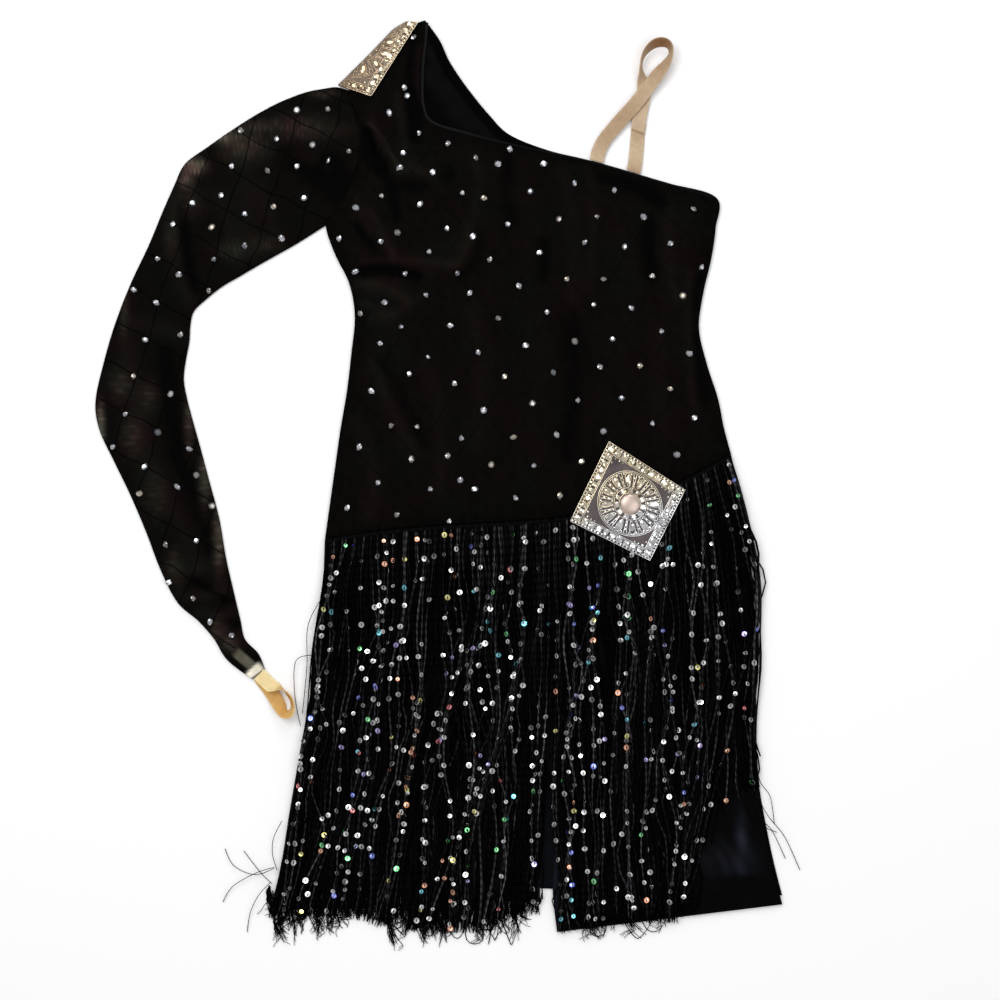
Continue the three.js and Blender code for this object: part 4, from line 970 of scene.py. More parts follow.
# ---------------------------------------------------------------- underskirt
# A short straight skirt of black stretch jersey with a navy sheen, sewn to the hip seam: a back and
# two front panels that part in a slit, each with a stitched hem.
SEAM = 0.3
SKIRT_PUFF = 0.5
BACK_HEM_RISE = 8
HEM_STITCH = 15.0
SLIT_FOLD = 10.0
HIP_LEFT, HIP_WIDE = -111, 366
SKIRT_ROWS, SKIRT_COLUMNS = 120, 80
BACK_SKIRT_STEPS = 60
SKIRT_OUTLINE_STEPS = 12
SHEEN_X, SHEEN_Y = 250, -336
SHEEN_WIDE, SHEEN_HIGH = 24, 14
RIDGE_X, RIDGE_Y = 264, -318
RIDGE_WIDE, RIDGE_HIGH = 4.5, 24
HEM_CREASE = -349
NAVY_SHEEN_FROM, NAVY_SHEEN_BY = -272, -308
# Sides of the panels, from the hip seam to the hem: x, y
skirt_left_side = np.array([
    (-111, -47), (-114, -110), (-123, -180), (-134, -245), (-144, -305), (-152, -362)])
slit_left_edge = np.array([
    (88, -32), (88, -110), (88, -180), (86, -245), (83, -305), (83, -373)])
slit_right_edge = np.array([
    (88, -32), (88, -110), (88, -180), (87, -246), (96, -312), (94, -360), (98, -400)])
skirt_right_side = np.array([
    (255, 30), (269, -34), (275, -102), (276, -182), (279, -262), (290, -328), (301, -375)])
# Folds: fromX, fromY, byX, byY, toX, toY, height, width
skirt_folds = (
    (-66, -150, -74, -240, -86, -336, 1.4, 15),
    (12, -150, 10, -240, -2, -344, 1.5, 17),
    (60, -150, 56, -240, 48, -340, 1.1, 14),
    (150, -170, 152, -260, 150, -360, 1.2, 17),
    (214, -170, 216, -260, 214, -352, 1, 14),
    (260, -216, 258, -290, 276, -345, 2.6, 8),
)
jersey_finish = new_finish("stretch_jersey", (0.003, 0.003, 0.004), 0.55, 0.03)
weave(jersey_finish, 0.5, 0.08)
shaded(jersey_finish, patches(jersey_finish, 0.05, [
    (0.0014, 0.0014, 0.0019), (0.0022, 0.0026, 0.0040), (0.0016, 0.0016, 0.0021)]))


def hip_seam(part):
    """Plan places on the hip seam, at a fraction from left to right."""
    left_x, left_y, right_x, right_y, dip = bodice_sections[-1]
    fall = dip * np.sin(np.pi * np.clip(part, 0, 1) ** DIP_SKEW)
    return left_x + (right_x - left_x) * part, left_y + (right_y - left_y) * part + fall


def skirt_grid(left_edge, right_edge, rows, columns):
    """A panel hung from the hip seam between two edges: its rows follow the seam at the top and
    level out towards the hem by the square of the way that is left."""
    down = np.linspace(0, 1, rows + 1)
    left = smooth_rows(left_edge, down)
    right = smooth_rows(right_edge, down)
    across = np.linspace(0, 1, columns + 1)
    x = left[:, :1] + (right[:, :1] - left[:, :1]) * across
    level = left[:, 1:] + (right[:, 1:] - left[:, 1:]) * across
    top_x = left_edge[0][0] + (right_edge[0][0] - left_edge[0][0]) * across
    seam_y = hip_seam((top_x - HIP_LEFT) / HIP_WIDE)[1] - SEAM
    straight = left_edge[0][1] + (right_edge[0][1] - left_edge[0][1]) * across
    return x, level + (seam_y - straight) * (1 - down[:, None]) ** 2


def raised_hem(edge):
    """The same edge with its hem a little higher, as the back's lies."""
    return edge + np.stack([np.zeros(len(edge)), np.linspace(0, BACK_HEM_RISE, len(edge))], 1)


def spot(x, y, centre_x, centre_y, half_wide, half_high):
    """A soft spot: exp(-(distance)^2), with each way's distance in its own half size."""
    return np.exp(-((x - centre_x) / half_wide) ** 2 - ((y - centre_y) / half_high) ** 2)


# side, left edge, right edge, then the cut's width, length and area in metres
skirt_fronts = (
    ("left", skirt_left_side, slit_left_edge - (SEAM / 2, 0), 0.235, 0.34, 0.073),
    ("right", slit_right_edge + (SEAM / 2, 0), skirt_right_side, 0.205, 0.42, 0.073),
)
skirt_pieces = {}
for side, left_edge, right_edge, width, length, area in skirt_fronts:
    grid_x, grid_y = skirt_grid(left_edge, right_edge, SKIRT_ROWS, SKIRT_COLUMNS)
    outline = outline_of(*skirt_grid(left_edge, right_edge, *[SKIRT_OUTLINE_STEPS] * 2))

    def skirt_top(x, y, outline=outline):
        """Height of a skirt panel: flat at its edges, lightly puffed and folded between them."""
        fade = smoothstep(distance_to(outline, x, y), 0, EDGE_RISE)
        return FRONT_TOP + fade * (SKIRT_PUFF + fold_height(x, y, skirt_folds))

    hem_line = np.stack([grid_x[-1], grid_y[-1]], 1)
    from_hem = distance_to(hem_line, grid_x, grid_y)
    stitch = np.exp(-((from_hem - HEM_STITCH) / 1.2) ** 2)
    top = skirt_top(grid_x, grid_y) - 0.3 * stitch
    top = top + 0.12 * uneven(grid_x, grid_y, 22, 5) * smoothstep(from_hem, 0, 8)
    slit_edge = grid_x - grid_x[:, :1] if side == "right" else grid_x[:, -1:] - grid_x
    folded = (1 - smoothstep(slit_edge, SLIT_FOLD - 1.5, SLIT_FOLD)) * smoothstep(-grid_y, 150, 260)
    # Painted sheen: the jersey is painted paler, so that its navy shows, over a broad spot and along
    # one ridge above the hem's crease; higher up it is painted darker, out of that light.
    sheen = 0.6 * spot(grid_x, grid_y, SHEEN_X, SHEEN_Y, SHEEN_WIDE, SHEEN_HIGH)
    sheen = sheen + spot(grid_x, grid_y, RIDGE_X, RIDGE_Y, RIDGE_WIDE, RIDGE_HIGH)
    sheen = sheen * smoothstep(grid_y, HEM_CREASE - 3, HEM_CREASE + 3)
    streaks = 1 + 0.35 * np.sin(0.4 * grid_x + 0.25 * grid_y + 3 * uneven(grid_x, grid_y, 40, 15))
    # The tint is also painted paler on the skirt's folds, as light on them, darker along the hem's
    # stitching and paler along the slit's folded edge.
    tint = 0.10 + 0.12 * fold_height(grid_x, grid_y, skirt_folds)
    tint = tint + 0.2 * uneven(grid_x, grid_y, 30, 14)
    tint = tint - 0.5 * stitch + 2.6 * folded + 4.2 * sheen * streaks
    tint = np.clip(tint * (0.3 + 0.7 * smoothstep(-grid_y, -NAVY_SHEEN_FROM, -NAVY_SHEEN_BY)), 0.06, 6)
    panel = cloth_panel(f"skirt_{side}_cloth", (grid_x, grid_y), top, top - 1.0,
                        jersey_finish, tint, "stretch", f"skirt_front_{side}")
    skirt_pieces[side] = (skirt_top, outline)

back_skirt = skirt_grid(raised_hem(skirt_left_side), raised_hem(skirt_right_side),
                        BACK_SKIRT_STEPS, BACK_SKIRT_STEPS)
flat_back = np.full_like(back_skirt[0], CLOTH)
skirt_back = cloth_panel("skirt_back_cloth", back_skirt, flat_back, flat_back * 0,
                         jersey_finish, flat_back / CLOTH, "stretch", "skirt_back")

# ---------------------------------------------------------------- fringe
# Black rayon fringe, knotted close along a narrow heading tape that is sewn over the hip seam. Its
# many twisted strands hang past the underskirt's hem and end in loose, frayed threads.
HEADER_WIDE = 7
HEADER_HIGH = 3.4
HEADER_DROP = 2
HEADER_BASE = 3.4
HEADER_STEPS = 90
HEADER_CORNERS = 9
HEADER_TINT = 0.5
STRAND_STATIONS = 26
STRAND_CORNERS = 4
STRAND_HALF = 0.62
FRINGE_DEPTH = 4.6
FLOOR_CLEAR = 0.35
TIP_FALL = 14
# Guide strands, which those between them blend: the root's place along the hip seam, then x and y
# at each fifth of the way down
left_guides = np.array([
    (0.004, -116.7, -118, -126.5, -184, -133.8, -251, -144.5, -317, -159, -388),
    (0.139, -63, -117, -70, -182, -78, -247, -88, -314, -101, -386),
    (0.330, 8, -108, 5, -180, 0, -250, -8, -324, -18, -402),
    (0.450, 52, -104, 50, -176, 45, -246, 39, -319, 31, -401),
    (0.555, 94, -100, 93, -167, 90, -236, 85, -304, 79, -374),
])
right_guides = np.array([
    (0.562, 96, -108, 96, -181, 95, -254, 97, -327, 101, -402),
    (0.720, 153, -98, 153, -170, 152, -243, 152, -316, 152, -391),
    (0.860, 206, -82, 208, -160, 210, -238, 210, -316, 208, -392),
    (0.930, 238, -62, 243, -135, 240, -202, 230, -277, 212, -352),
    (0.952, 250, -50, 255, -118, 253, -185, 247, -250, 236, -300),
    (0.964, 258, -45, 266, -105, 267, -165, 262, -222, 263, -272),
    (0.998, 271, -31, 281, -92, 282, -153, 275.5, -215, 279, -276),
])
# name, guides, strands, locks that they are drawn into, strands that carry sequins, seed
fringe_sides = (
    ("left", left_guides, 640, 52, 34, 21),
    ("right", right_guides, 440, 38, 26, 22),
)
SHORT_SHARE = 0.10
WILD_SHARE, WILD_SWAY = 0.2, 2.4
GLINT_SHARE = 0.08
SLANT = 4.5

thread_finish = new_finish("rayon_thread", (0.002, 0.002, 0.002), 0.45, 0.02)
thread_places = step(thread_finish, "UVMap", {}, uv_map="cloth").outputs["UV"]
twist = step(thread_finish, "TexWave", {"Vector": thread_places, "Scale": 90.0, "Distortion": 1.0},
             wave_type="BANDS", bands_direction="DIAGONAL")
twist_bump = step(thread_finish, "Bump", {
    "Height": twist.outputs["Fac"], "Strength": 0.6, "Distance": 0.0003})
feed(thread_finish, "Normal", twist_bump.outputs["Normal"])
thread_color = step(thread_finish, "ValToRGB", {"Fac": twist.outputs["Fac"]})
thread_color.color_ramp.elements[0].color = (0.0007, 0.0007, 0.0008, 1)
thread_color.color_ramp.elements[1].color = (0.0024, 0.0024, 0.0026, 1)
shaded(thread_finish, thread_color.outputs["Color"])


def within(outline, x, y):
    """Whether plan places lie inside a closed outline: a line to the right crosses it an odd number
    of times."""
    x0, y0 = outline[:-1, 0], outline[:-1, 1]
    x1, y1 = outline[1:, 0], outline[1:, 1]
    between = (y0 > y[..., None]) != (y1 > y[..., None])
    run = np.where(y1 == y0, 1e-9, y1 - y0)
    crossing = x0 + (y[..., None] - y0) / run * (x1 - x0)
    return ((between & (x[..., None] < crossing)).sum(-1) % 2).astype(bool)


def lie_on(top, outline, x, y):
    """Height of what the strands lie on: the skirt panel, and past its edge a slope to the floor."""
    away = distance_to(outline, x, y)
    ground = FRONT_TOP + (FLOOR_CLEAR - FRONT_TOP) * smoothstep(away, 0, TIP_FALL)
    return np.where(within(outline, x, y), top(x, y), ground)


def blended_guides(guides, part, t):
    """Plan places of the strands rooted at part: at each fifth of the way, straight between the two
    nearest guides, and along the way the smooth curve through these places."""
    root_x, root_y = hip_seam(part)
    knots = [root_x, root_y - HEADER_DROP]
    knots += [np.interp(part, guides[:, 0], guides[:, k]) for k in range(1, guides.shape[1])]
    knots = np.stack(knots).reshape(-1, 2, len(part)).transpose(0, 2, 1).reshape(-1, 2 * len(part))
    run = smooth_rows(knots, t).reshape(len(t), len(part), 2).transpose(1, 0, 2)
    return run[..., 0], run[..., 1]


def shared_sway(draw, part, t, terms=9, reach=1.5):
    """Sideways sway that neighbouring strands share: a sum of seeded waves of 25 to 90 mm across
    the fringe and up to three turns down it."""
    total = np.zeros((len(part), len(t)))
    across = part[:, None] * HIP_WIDE
    for _ in range(terms):
        pitch, turns, phase = draw.uniform((25, 0.4, 0), (90, 3.0, 2 * np.pi))
        total += reach * np.sin(2 * np.pi * (across / pitch + turns * t) + phase)
    return total


def pulled_together(draw, guides, part, t, locks):
    """How far each strand is drawn sideways to the middle of its lock, more so further down."""
    middles = np.sort(draw.uniform(part[0], part[-1], locks))
    nearest = np.abs(part[:, None] - middles).argmin(1)
    own = blended_guides(guides, part, t)[0]
    pull = draw.uniform(0.1, 0.8, (len(part), 1)) * smoothstep(t, 0.0, 0.4)
    return pull * (blended_guides(guides, middles[nearest], t)[0] - own)


def own_sway(draw, count, t, wildness):
    """Each strand's own sway: waves of about 1, 3 and 6 turns, smaller as they shorten."""
    total = np.zeros((count, len(t)))
    for turns in (1.2, 2.9, 6.3):
        phase = draw.uniform(0, 2 * np.pi, (count, 1))
        reach = draw.normal(0, 2.2 / turns ** 0.4, (count, 1)) * wildness
        total += reach * np.sin(2 * np.pi * turns * draw.uniform(0.7, 1.3, (count, 1)) * t + phase)
    return total


def broken_glints(draw, count, stations):
    """How pale a strand is painted along its way, as glints: seeded levels, smoothed over three
    stations and cubed, so that the painted light comes in short dashes."""
    raw = draw.uniform(0, 1, (count, stations + 2))
    return ((raw[:, :-2] + raw[:, 1:-1] + raw[:, 2:]) / 3) ** 3 * 6.5


carriers = {}
for side, guides, count, locks, carrier_count, seed in fringe_sides:
    draw = np.random.default_rng(seed)
    top, outline = skirt_pieces[side]
    first, last = guides[0, 0], guides[-1, 0]
    part = first + (last - first) * (np.arange(count) + draw.uniform(0.1, 0.9, count)) / count
    short = draw.uniform(0, 1, count) < SHORT_SHARE
    reach = np.where(short, draw.uniform(0.72, 0.96, count),
                     1.0 - np.abs(draw.normal(0, 0.014, count)))
    t = np.linspace(0, 1, STRAND_STATIONS)
    x, y = blended_guides(guides, part, t)
    y = y[:, :1] + (y - y[:, :1]) * reach[:, None]
    wildness = np.where(draw.uniform(0, 1, (count, 1)) < WILD_SHARE, WILD_SWAY, 1.0)
    slant = draw.normal(0, SLANT, (count, 1)) * t
    sway = shared_sway(draw, part, t) + own_sway(draw, count, t, wildness) + slant
    sway = sway + pulled_together(draw, guides, part, t, locks)
    # The outermost strands keep the fringe's outline.
    inward = np.minimum(smoothstep(part, first, first + 0.03),
                        1 - smoothstep(part, last - 0.03, last))
    x = x + sway * smoothstep(t, 0, 0.22) * (0.3 + 0.7 * inward[:, None])
    layer = draw.uniform(0, 1, count)
    # The uppermost strand of each of so many groups carries sequins.
    groups = np.array_split(np.arange(count), carrier_count)
    chosen = np.array([group[layer[group].argmax()] for group in groups])
    lie = 0.25 + FRINGE_DEPTH * layer[:, None] * (1 - 0.55 * smoothstep(t, 0.55, 1.0))
    z = lie_on(top, outline, x, y) + lie + 0.3 * np.sin(9 * t + 6 * layer[:, None])
    header_z = HEADER_BASE + 0.4 + 2.2 * layer[:, None]
    z = header_z + (z - header_z) * smoothstep(t, 0, 0.07)
    paths = np.stack([x, y, z], -1)
    taper = STRAND_HALF * (1 - 0.45 * smoothstep(t, 0.93, 1.0)) * draw.uniform(0.7, 1.2, (count, 1))
    # Painted shade and glints: lower strands are painted darker, in the shade of those over them; a
    # few strands, and all that carry sequins, are painted pale in short dashes as glints.
    level = 0.2 + 0.6 * layer[:, None] ** 3
    painted_pale = draw.uniform(0, 1, (count, 1)) < GLINT_SHARE
    level = np.where(painted_pale, draw.uniform(2.0, 7.0, (count, 1)), level)
    level[chosen] = draw.uniform(3.0, 10.0, (len(chosen), 1))
    tint = level * (0.2 + broken_glints(draw, count, STRAND_STATIONS))
    taper = taper * np.where(painted_pale, 1.5, 1.0)
    taper[chosen] *= 1.4
    strand_piece(f"fringe_{side}_strands", paths, taper, taper * 1.3, STRAND_CORNERS,
                 thread_finish, tint, "thread", f"fringe_{side}")
    carriers[side] = paths[chosen]

    tape_x, tape_y = hip_seam(np.linspace(first, last, HEADER_STEPS))
    tape_z = np.full(HEADER_STEPS, HEADER_BASE + 0.1)
    tape_path = np.stack([tape_x, tape_y - HEADER_DROP, tape_z], -1)[None]
    strand_piece(f"fringe_{side}_heading", tape_path, HEADER_WIDE / 2, HEADER_HIGH, HEADER_CORNERS,
                 thread_finish, HEADER_TINT, "thread")

# ---------------------------------------------------------------- frayed ends and loose threads
# Below the hem the strands have come untwisted into fine curled threads, in tufts of uneven length,
# and a few single threads have strayed from the fringe's sides.
FRAY_HALF = 0.42
FRAY_STATIONS = 17
FRAY_START = -365
FRAY_END = 1 - HALF_LENGTH
BUNDLES = 6
BUNDLE_THREADS = 4
FRAY_CORNERS = 3
FRAY_TINT = 0.6
LOOSE_HALF = 0.33
LOOSE_STATIONS = 26
LOOSE_TINT = 1.5
# x of the tuft, its lowest y, half width of its roots and of its tips
left_tufts = (
    (-160, -388, 3, 3), (-152, -419, 5, 4), (-144, -418, 5, 4), (-131, -410, 6, 4),
    (-117, -412, 5, 4), (-104, -413, 6, 5), (-93, -405, 6, 5), (-78, -392, 7, 6),
    (-73, -388, 3, 4), (-62, -396, 7, 6),
    (-50, -420, 9, 2), (-37, -411, 7, 5), (-36, -396, 3, 4), (-27, -415, 6, 5), (-13, -411, 7, 5),
    (-2, -418, 6, 4), (10, -412, 7, 6), (28, -418, 7, 5), (41, -414, 6, 5), (55, -413, 6, 4),
    (66, -403, 6, 5), (78, -391, 5, 5),
)
right_tufts = (
    (114, -410, 7, 6), (128, -417, 7, 5), (140, -415, 7, 5), (152, -407, 7, 5), (166, -411, 7, 5),
    (180, -405, 6, 5), (190, -407, 6, 4), (203, -398, 6, 5), (214, -390, 5, 5),
)
# Threads that sag between tufts: fromX, toX, lowest y
left_arcs = (
    (-30, -4, -404), (-6, 22, -406), (8, 40, -411), (28, 56, -408), (44, 70, -412),
    (-128, -112, -400),
)
right_arcs = ((120, 150, -404), (150, 192, -406), (166, 204, -400))
# Single threads, four places each: x, y
left_loose = (
    (-113, -98, -126, -124, -127, -160, -131, -203),
    (-122, -150, -137, -156, -138, -186, -133, -214),
    (-149, -299, -157, -315, -158, -330, -154, -344),
    (-156, -342, -174, -348, -193, -340, -201, -325),
    (-156, -341, -174, -347, -194, -359, -203, -373),
    (-158, -356, -167, -348, -177, -336, -184, -327),
    (-159, -354, -170, -366, -178, -382, -181, -400),
    (-154, -366, -164, -374, -168, -380, -172, -384),
)
right_loose = (
    (274, -230, 280, -262, 290, -278, 294, -303),
    (272, -262, 286, -292, 303, -314, 317, -344),
    (270, -270, 281, -296, 292, -309, 304, -334),
    (263, -272, 272, -292, 283, -304, 296, -310),
    (252, -236, 262, -264, 272, -292, 284, -306),
    (240, -180, 232, -228, 222, -262, 196, -284),
)


def sagging_threads(draw, arcs):
    """Plan runs of threads that leave one place on the fringe's end for another and sag between."""
    start_x, end_x, low = np.array(arcs, float).T[..., None]
    t = np.linspace(0, 1, FRAY_STATIONS)
    x = start_x + (end_x - start_x) * t + draw.normal(0, 2.0, (len(arcs), 1)) * np.sin(4 * np.pi * t)
    y = FRAY_START + (low - FRAY_START) * np.sin(np.pi * t) ** draw.uniform(0.7, 1.3, (len(arcs), 1))
    return x, y


def curled_threads(draw, tufts):
    """Plan runs of the frayed threads. Each tuft has a few bundles, straight from a root to a tip
    of the tuft plus a curl of up to two turns that grows towards the tip; each thread of a bundle
    strays a little from it and ends at its own length."""
    bundles = np.repeat(np.array(tufts, float), BUNDLES, axis=0)
    x, low, root_half, tip_half = bundles.T[..., None, None]
    count = len(x)
    t = np.linspace(0, 1, FRAY_STATIONS)

    def both(spread, stray):
        """A normal value for each bundle plus a smaller one for each of its threads."""
        own = draw.normal(0, spread, (count, 1, 1))
        return own + draw.normal(0, stray, (count, BUNDLE_THREADS, 1))

    root_x = x + root_half * both(1, 0.25)
    tip_x = x + tip_half * both(1, 0.35)
    long = draw.uniform(0.55, 1, (count, 1, 1)) * draw.uniform(0.75, 1, (count, BUNDLE_THREADS, 1))
    turns = draw.uniform(0.7, 2.8, (count, 1, 1))
    curl = both(2.7, 1.1) * np.sin(2 * np.pi * turns * t + both(2.0, 0.35))
    run_x = root_x + (tip_x - root_x) * t ** 1.3 + curl * smoothstep(t, 0.1, 0.8)
    root_y = FRAY_START + both(3, 2)
    run_y = root_y + (low - root_y) * long * t + 0.9 * curl * np.cos(5 * t) * smoothstep(t, 0.3, 1.0)
    run_y = np.maximum(run_y, FRAY_END)
    return run_x.reshape(-1, FRAY_STATIONS), run_y.reshape(-1, FRAY_STATIONS)


# side, tufts, sagging threads, single threads, seed
fringe_ends = (
    ("left", left_tufts, left_arcs, left_loose, 51),
    ("right", right_tufts, right_arcs, right_loose, 52),
)
for side, tufts, arcs, loose, seed in fringe_ends:
    draw = np.random.default_rng(seed)
    top, outline = skirt_pieces[side]
    runs = [curled_threads(draw, tufts), sagging_threads(draw, arcs)]
    x, y = (np.concatenate(parts) for parts in zip(*runs))
    rise = draw.uniform(0.1, 1.2, (len(x), 1)) * np.linspace(0, 1, FRAY_STATIONS)
    paths = np.stack([x, y, lie_on(top, outline, x, y) + rise], -1)
    taper = FRAY_HALF * np.linspace(1.3, 0.55, FRAY_STATIONS)
    strand_piece(f"fringe_{side}_frays", paths, taper, taper * 1.5, FRAY_CORNERS,
                 thread_finish, FRAY_TINT, "thread")

    knots = np.array(loose, float).reshape(len(loose), 4, 2).transpose(1, 0, 2).reshape(4, -1)
    run = smooth_rows(knots, np.linspace(0, 1, LOOSE_STATIONS))
    run = run.reshape(LOOSE_STATIONS, -1, 2).transpose(1, 0, 2)
    z = lie_on(top, outline, run[..., 0], run[..., 1]) + 0.6
    z = z + FRINGE_DEPTH * np.linspace(1, 0, LOOSE_STATIONS)
    strand_piece(f"fringe_{side}_loose_threads", np.dstack([run, z]), LOOSE_HALF, LOOSE_HALF * 1.5,
                 STRAND_CORNERS, thread_finish, LOOSE_TINT, "thread")

# ---------------------------------------------------------------- sequins
# Small holographic discs threaded on some of the upper strands, about 17 mm apart. The thread lies
# across each disc's face. Each hangs at its own tilt, so some catch the light and some stay dim;
# their colours add painted dimness and painted glints.
SEQUIN_RADIUS = 2.45
SEQUIN_HIGH = 0.35
SEQUIN_LIFT = 1.9
SEQUIN_TIP, SEQUIN_ROLL = 0.4, 0.75
SEQUIN_HOLE = 0.2
SEQUIN_PITCH = 17.0
SEQUIN_SIDES = 10
THREAD_HALF = 0.12
THREAD_REACH = 0.62
THREAD_DARK = 0.004


def sequin():
    """A flat ring of radius 1, an outer and an inner circle on its face and on its back, with a bar
    of thread laid across its face as its last eight points."""
    turn = 2 * np.pi * np.arange(SEQUIN_SIDES) / SEQUIN_SIDES
    circle = np.stack([np.cos(turn), np.sin(turn)], 1)
    rings = [np.column_stack([circle * radius, np.full(SEQUIN_SIDES, z)])
             for radius, z in ((1, 1), (SEQUIN_HOLE, 0.6), (1, 0), (SEQUIN_HOLE, 0))]
    bar = np.array([(x * THREAD_REACH, y * THREAD_HALF, z) for z in (0.7, 1.6) for x, y in (
        (-1, -1), (1, -1), (1, 1), (-1, 1))])
    k = np.arange(SEQUIN_SIDES)
    n = (k + 1) % SEQUIN_SIDES
    edge, hole, back, back_hole, thread = SEQUIN_SIDES * np.arange(5)
    faces = np.vstack([
        np.stack([edge + k, edge + n, hole + n, hole + k], 1),
        np.stack([back + n, back + k, back_hole + k, back_hole + n], 1),
        np.stack([edge + n, edge + k, back + k, back + n], 1),
        np.stack([hole + k, hole + n, back_hole + n, back_hole + k], 1),
        thread + np.array([(0, 3, 2, 1), (4, 5, 6, 7), (0, 1, 5, 4), (1, 2, 6, 5), (2, 3, 7, 6),
                           (3, 0, 4, 7)]),
    ])
    return np.vstack([*rings, bar]), faces


def clear_of(outline, places, margin):
    """Whether places lie outside a closed outline and further from it than a margin."""
    x, y = places[:, 0], places[:, 1]
    return ~within(outline, x, y) & (distance_to(outline, x, y) > margin)


sequin_finish = painted(new_finish("holographic_sequin", (0.8, 0.82, 0.85), 0.22, 0.5, 1.0))
# Partly painted light: the whites are the silver foil, the greys and near-blacks painted dimness of
# discs that catch little light, and the hues painted holographic glints.
# red, green, blue, share of the discs
sequin_colors = np.array([
    (0.96, 0.96, 0.94, 0.37), (0.52, 0.52, 0.51, 0.17), (0.24, 0.24, 0.24, 0.15),
    (0.09, 0.09, 0.09, 0.10), (0.98, 0.36, 0.15, 0.045), (0.95, 0.86, 0.20, 0.035),
    (0.14, 0.90, 0.25, 0.035), (0.10, 0.72, 0.88, 0.035), (0.12, 0.18, 0.95, 0.025),
    (0.50, 0.38, 0.90, 0.02), (0.95, 0.14, 0.16, 0.015),
])
RIM_ONLY = 0.7
# Corners of the hip applique, which no sequin lies under
hip_corners = np.array([[(110, -29.7), (181.3, -65.1)], [(144.7, 41.7), (212.9, -1.8)]])
hip_outline = hip_corners.reshape(4, 2)[[0, 1, 3, 2, 0]]
for side, seed in (("left", 31), ("right", 32)):
    draw = np.random.default_rng(seed)
    places, ways = [], []
    for path in carriers[side]:
        number = int(np.linalg.norm(np.diff(path, axis=0), axis=1).sum() / SEQUIN_PITCH)
        place = np.arange(number) + draw.normal(0.5, 0.16) + draw.uniform(-0.3, 0.3, number)
        place = place / number
        place = place[(place > 0.025) & (place < 0.98)]
        at = smooth_rows(path, place)
        crowded = 0.80 + 0.9 * uneven(at[:, 0], at[:, 1], 75, seed)
        place = place[draw.uniform(0, 1, len(place)) < crowded]
        places.append(smooth_rows(path, place))
        ways.append(smooth_rows(path, place + 0.02) - smooth_rows(path, place - 0.02))
    places, ways = np.vstack(places), np.vstack(ways)
    clear = clear_of(hip_outline, places, SEQUIN_RADIUS)
    places, along = places[clear], unit(ways[clear])
    number = len(places)
    # A disc tips along its thread and rolls across it.
    normals = np.array([0.0, 0.0, 1.0]) + draw.normal(0, SEQUIN_TIP, (number, 1)) * along
    normals = normals + draw.normal(0, SEQUIN_ROLL, (number, 1)) * beside(along)
    sizes = np.tile([SEQUIN_RADIUS, SEQUIN_RADIUS, SEQUIN_HIGH], (number, 1))
    sizes[:, :2] *= draw.uniform(0.72, 1.1, (number, 1))
    points, faces = scatter_copies(sequin(), places + (0, 0, SEQUIN_LIFT), normals, along, sizes)
    each = len(sequin()[0])
    shares = sequin_colors[:, 3] / sequin_colors[:, 3].sum()
    tint = tinted(draw, sequin_colors[:, :3], shares, number, each)
    # Colours show most at a disc's rim. Each disc is painted paler on one side, as light falling
    # from there, and the thread on it is black.
    middle = np.tile(np.arange(each) % (2 * SEQUIN_SIDES) >= SEQUIN_SIDES, number)[:, None]
    tint = tint + (tint.max(axis=1, keepdims=True) - tint) * RIM_ONLY * middle
    turn = 2 * np.pi * np.arange(each) / SEQUIN_SIDES
    lit_side_and_thread = 1 + 0.35 * np.sin(turn + draw.uniform(0, 2 * np.pi, (number, 1)))
    lit_side_and_thread[:, -8:] = THREAD_DARK
    discs = new_piece(f"fringe_{side}_sequins", points, [faces], sequin_finish, smooth=False,
                      tint=np.clip(tint * lit_side_and_thread.reshape(-1, 1), 0, 1))
    fit(discs, "thread")

# ---------------------------------------------------------------- appliques
# Two square stone appliques: foil-backed stones glued in rings and rows to a felt backing, round a
# smooth domed stone, with fine wire along the rows and round the petals. One lies on the hip, the
# other is folded over the shoulder's edge, so that its middle lies at the back.
PLATE = 1.5
HIP_BASE = 7.9
APPLIQUE_HALF = 39.7
WIRE_STATIONS = 49
WIRE_HALF, WIRE_HIGH, WIRE_CORNERS = 0.4, 0.8, 4
PETALS = 12
PETAL_OUT = 0.555
STONE_DEEP = 0.09
HIP_STEPS = 41
HIP_SHIFT = 0.04
DOME_SIZE = (9.3, 9.3, 2.6)
SHOULDER_SHIFT = -0.22
PLATE_STEPS = 61
APPLIQUE_SEED = 41
# Rings of stones: count, turn of the first in steps, distance out, half length, half width
stone_rings = (
    (11, 0.5, 0.312, 0.076, 0.070),
    (26, 0.5, 0.415, 0.022, 0.022),
    (PETALS, 0.0, PETAL_OUT, 0.128, 0.072),
    (PETALS, 0.5, 0.500, 0.034, 0.030),
    (PETALS, 0.5, 0.610, 0.030, 0.030),
    (2 * PETALS, 0.5, 0.680, 0.026, 0.026),
)
# Rows of stones along the sides: count on a side, distance out, half length
side_rows = ((10, 0.872, 0.083), (24, 0.963, 0.026))
# Stones in the corners outside the rings: place on both axes, half length
corner_stones = ((0.70, 0.74, 0.030), (0.60, 0.745, 0.022), (0.74, 0.63, 0.026), (0.51, 0.75, 0.018))
CHAMPAGNE = np.array([0.94, 0.83, 0.62])
SILVER = np.array([0.93, 0.94, 0.95])
ROSE = (0.56, 0.45, 0.39)
BRONZE = np.array([0.56, 0.42, 0.28])


def hip_surface(u, v):
    """A place on the hip applique's face: u across and v up, each from -1 to 1, straight between
    its four corners and a little domed."""
    across, up = (u + 1) / 2, (v + 1) / 2
    low = hip_corners[0, 0] + (hip_corners[0, 1] - hip_corners[0, 0]) * across[..., None]
    high = hip_corners[1, 0] + (hip_corners[1, 1] - hip_corners[1, 0]) * across[..., None]
    plan = low + (high - low) * up[..., None]
    dome = 0.5 * (1 - u ** 2) * (1 - v ** 2)
    return np.concatenate([plan, (HIP_BASE + PLATE + dome)[..., None]], -1)


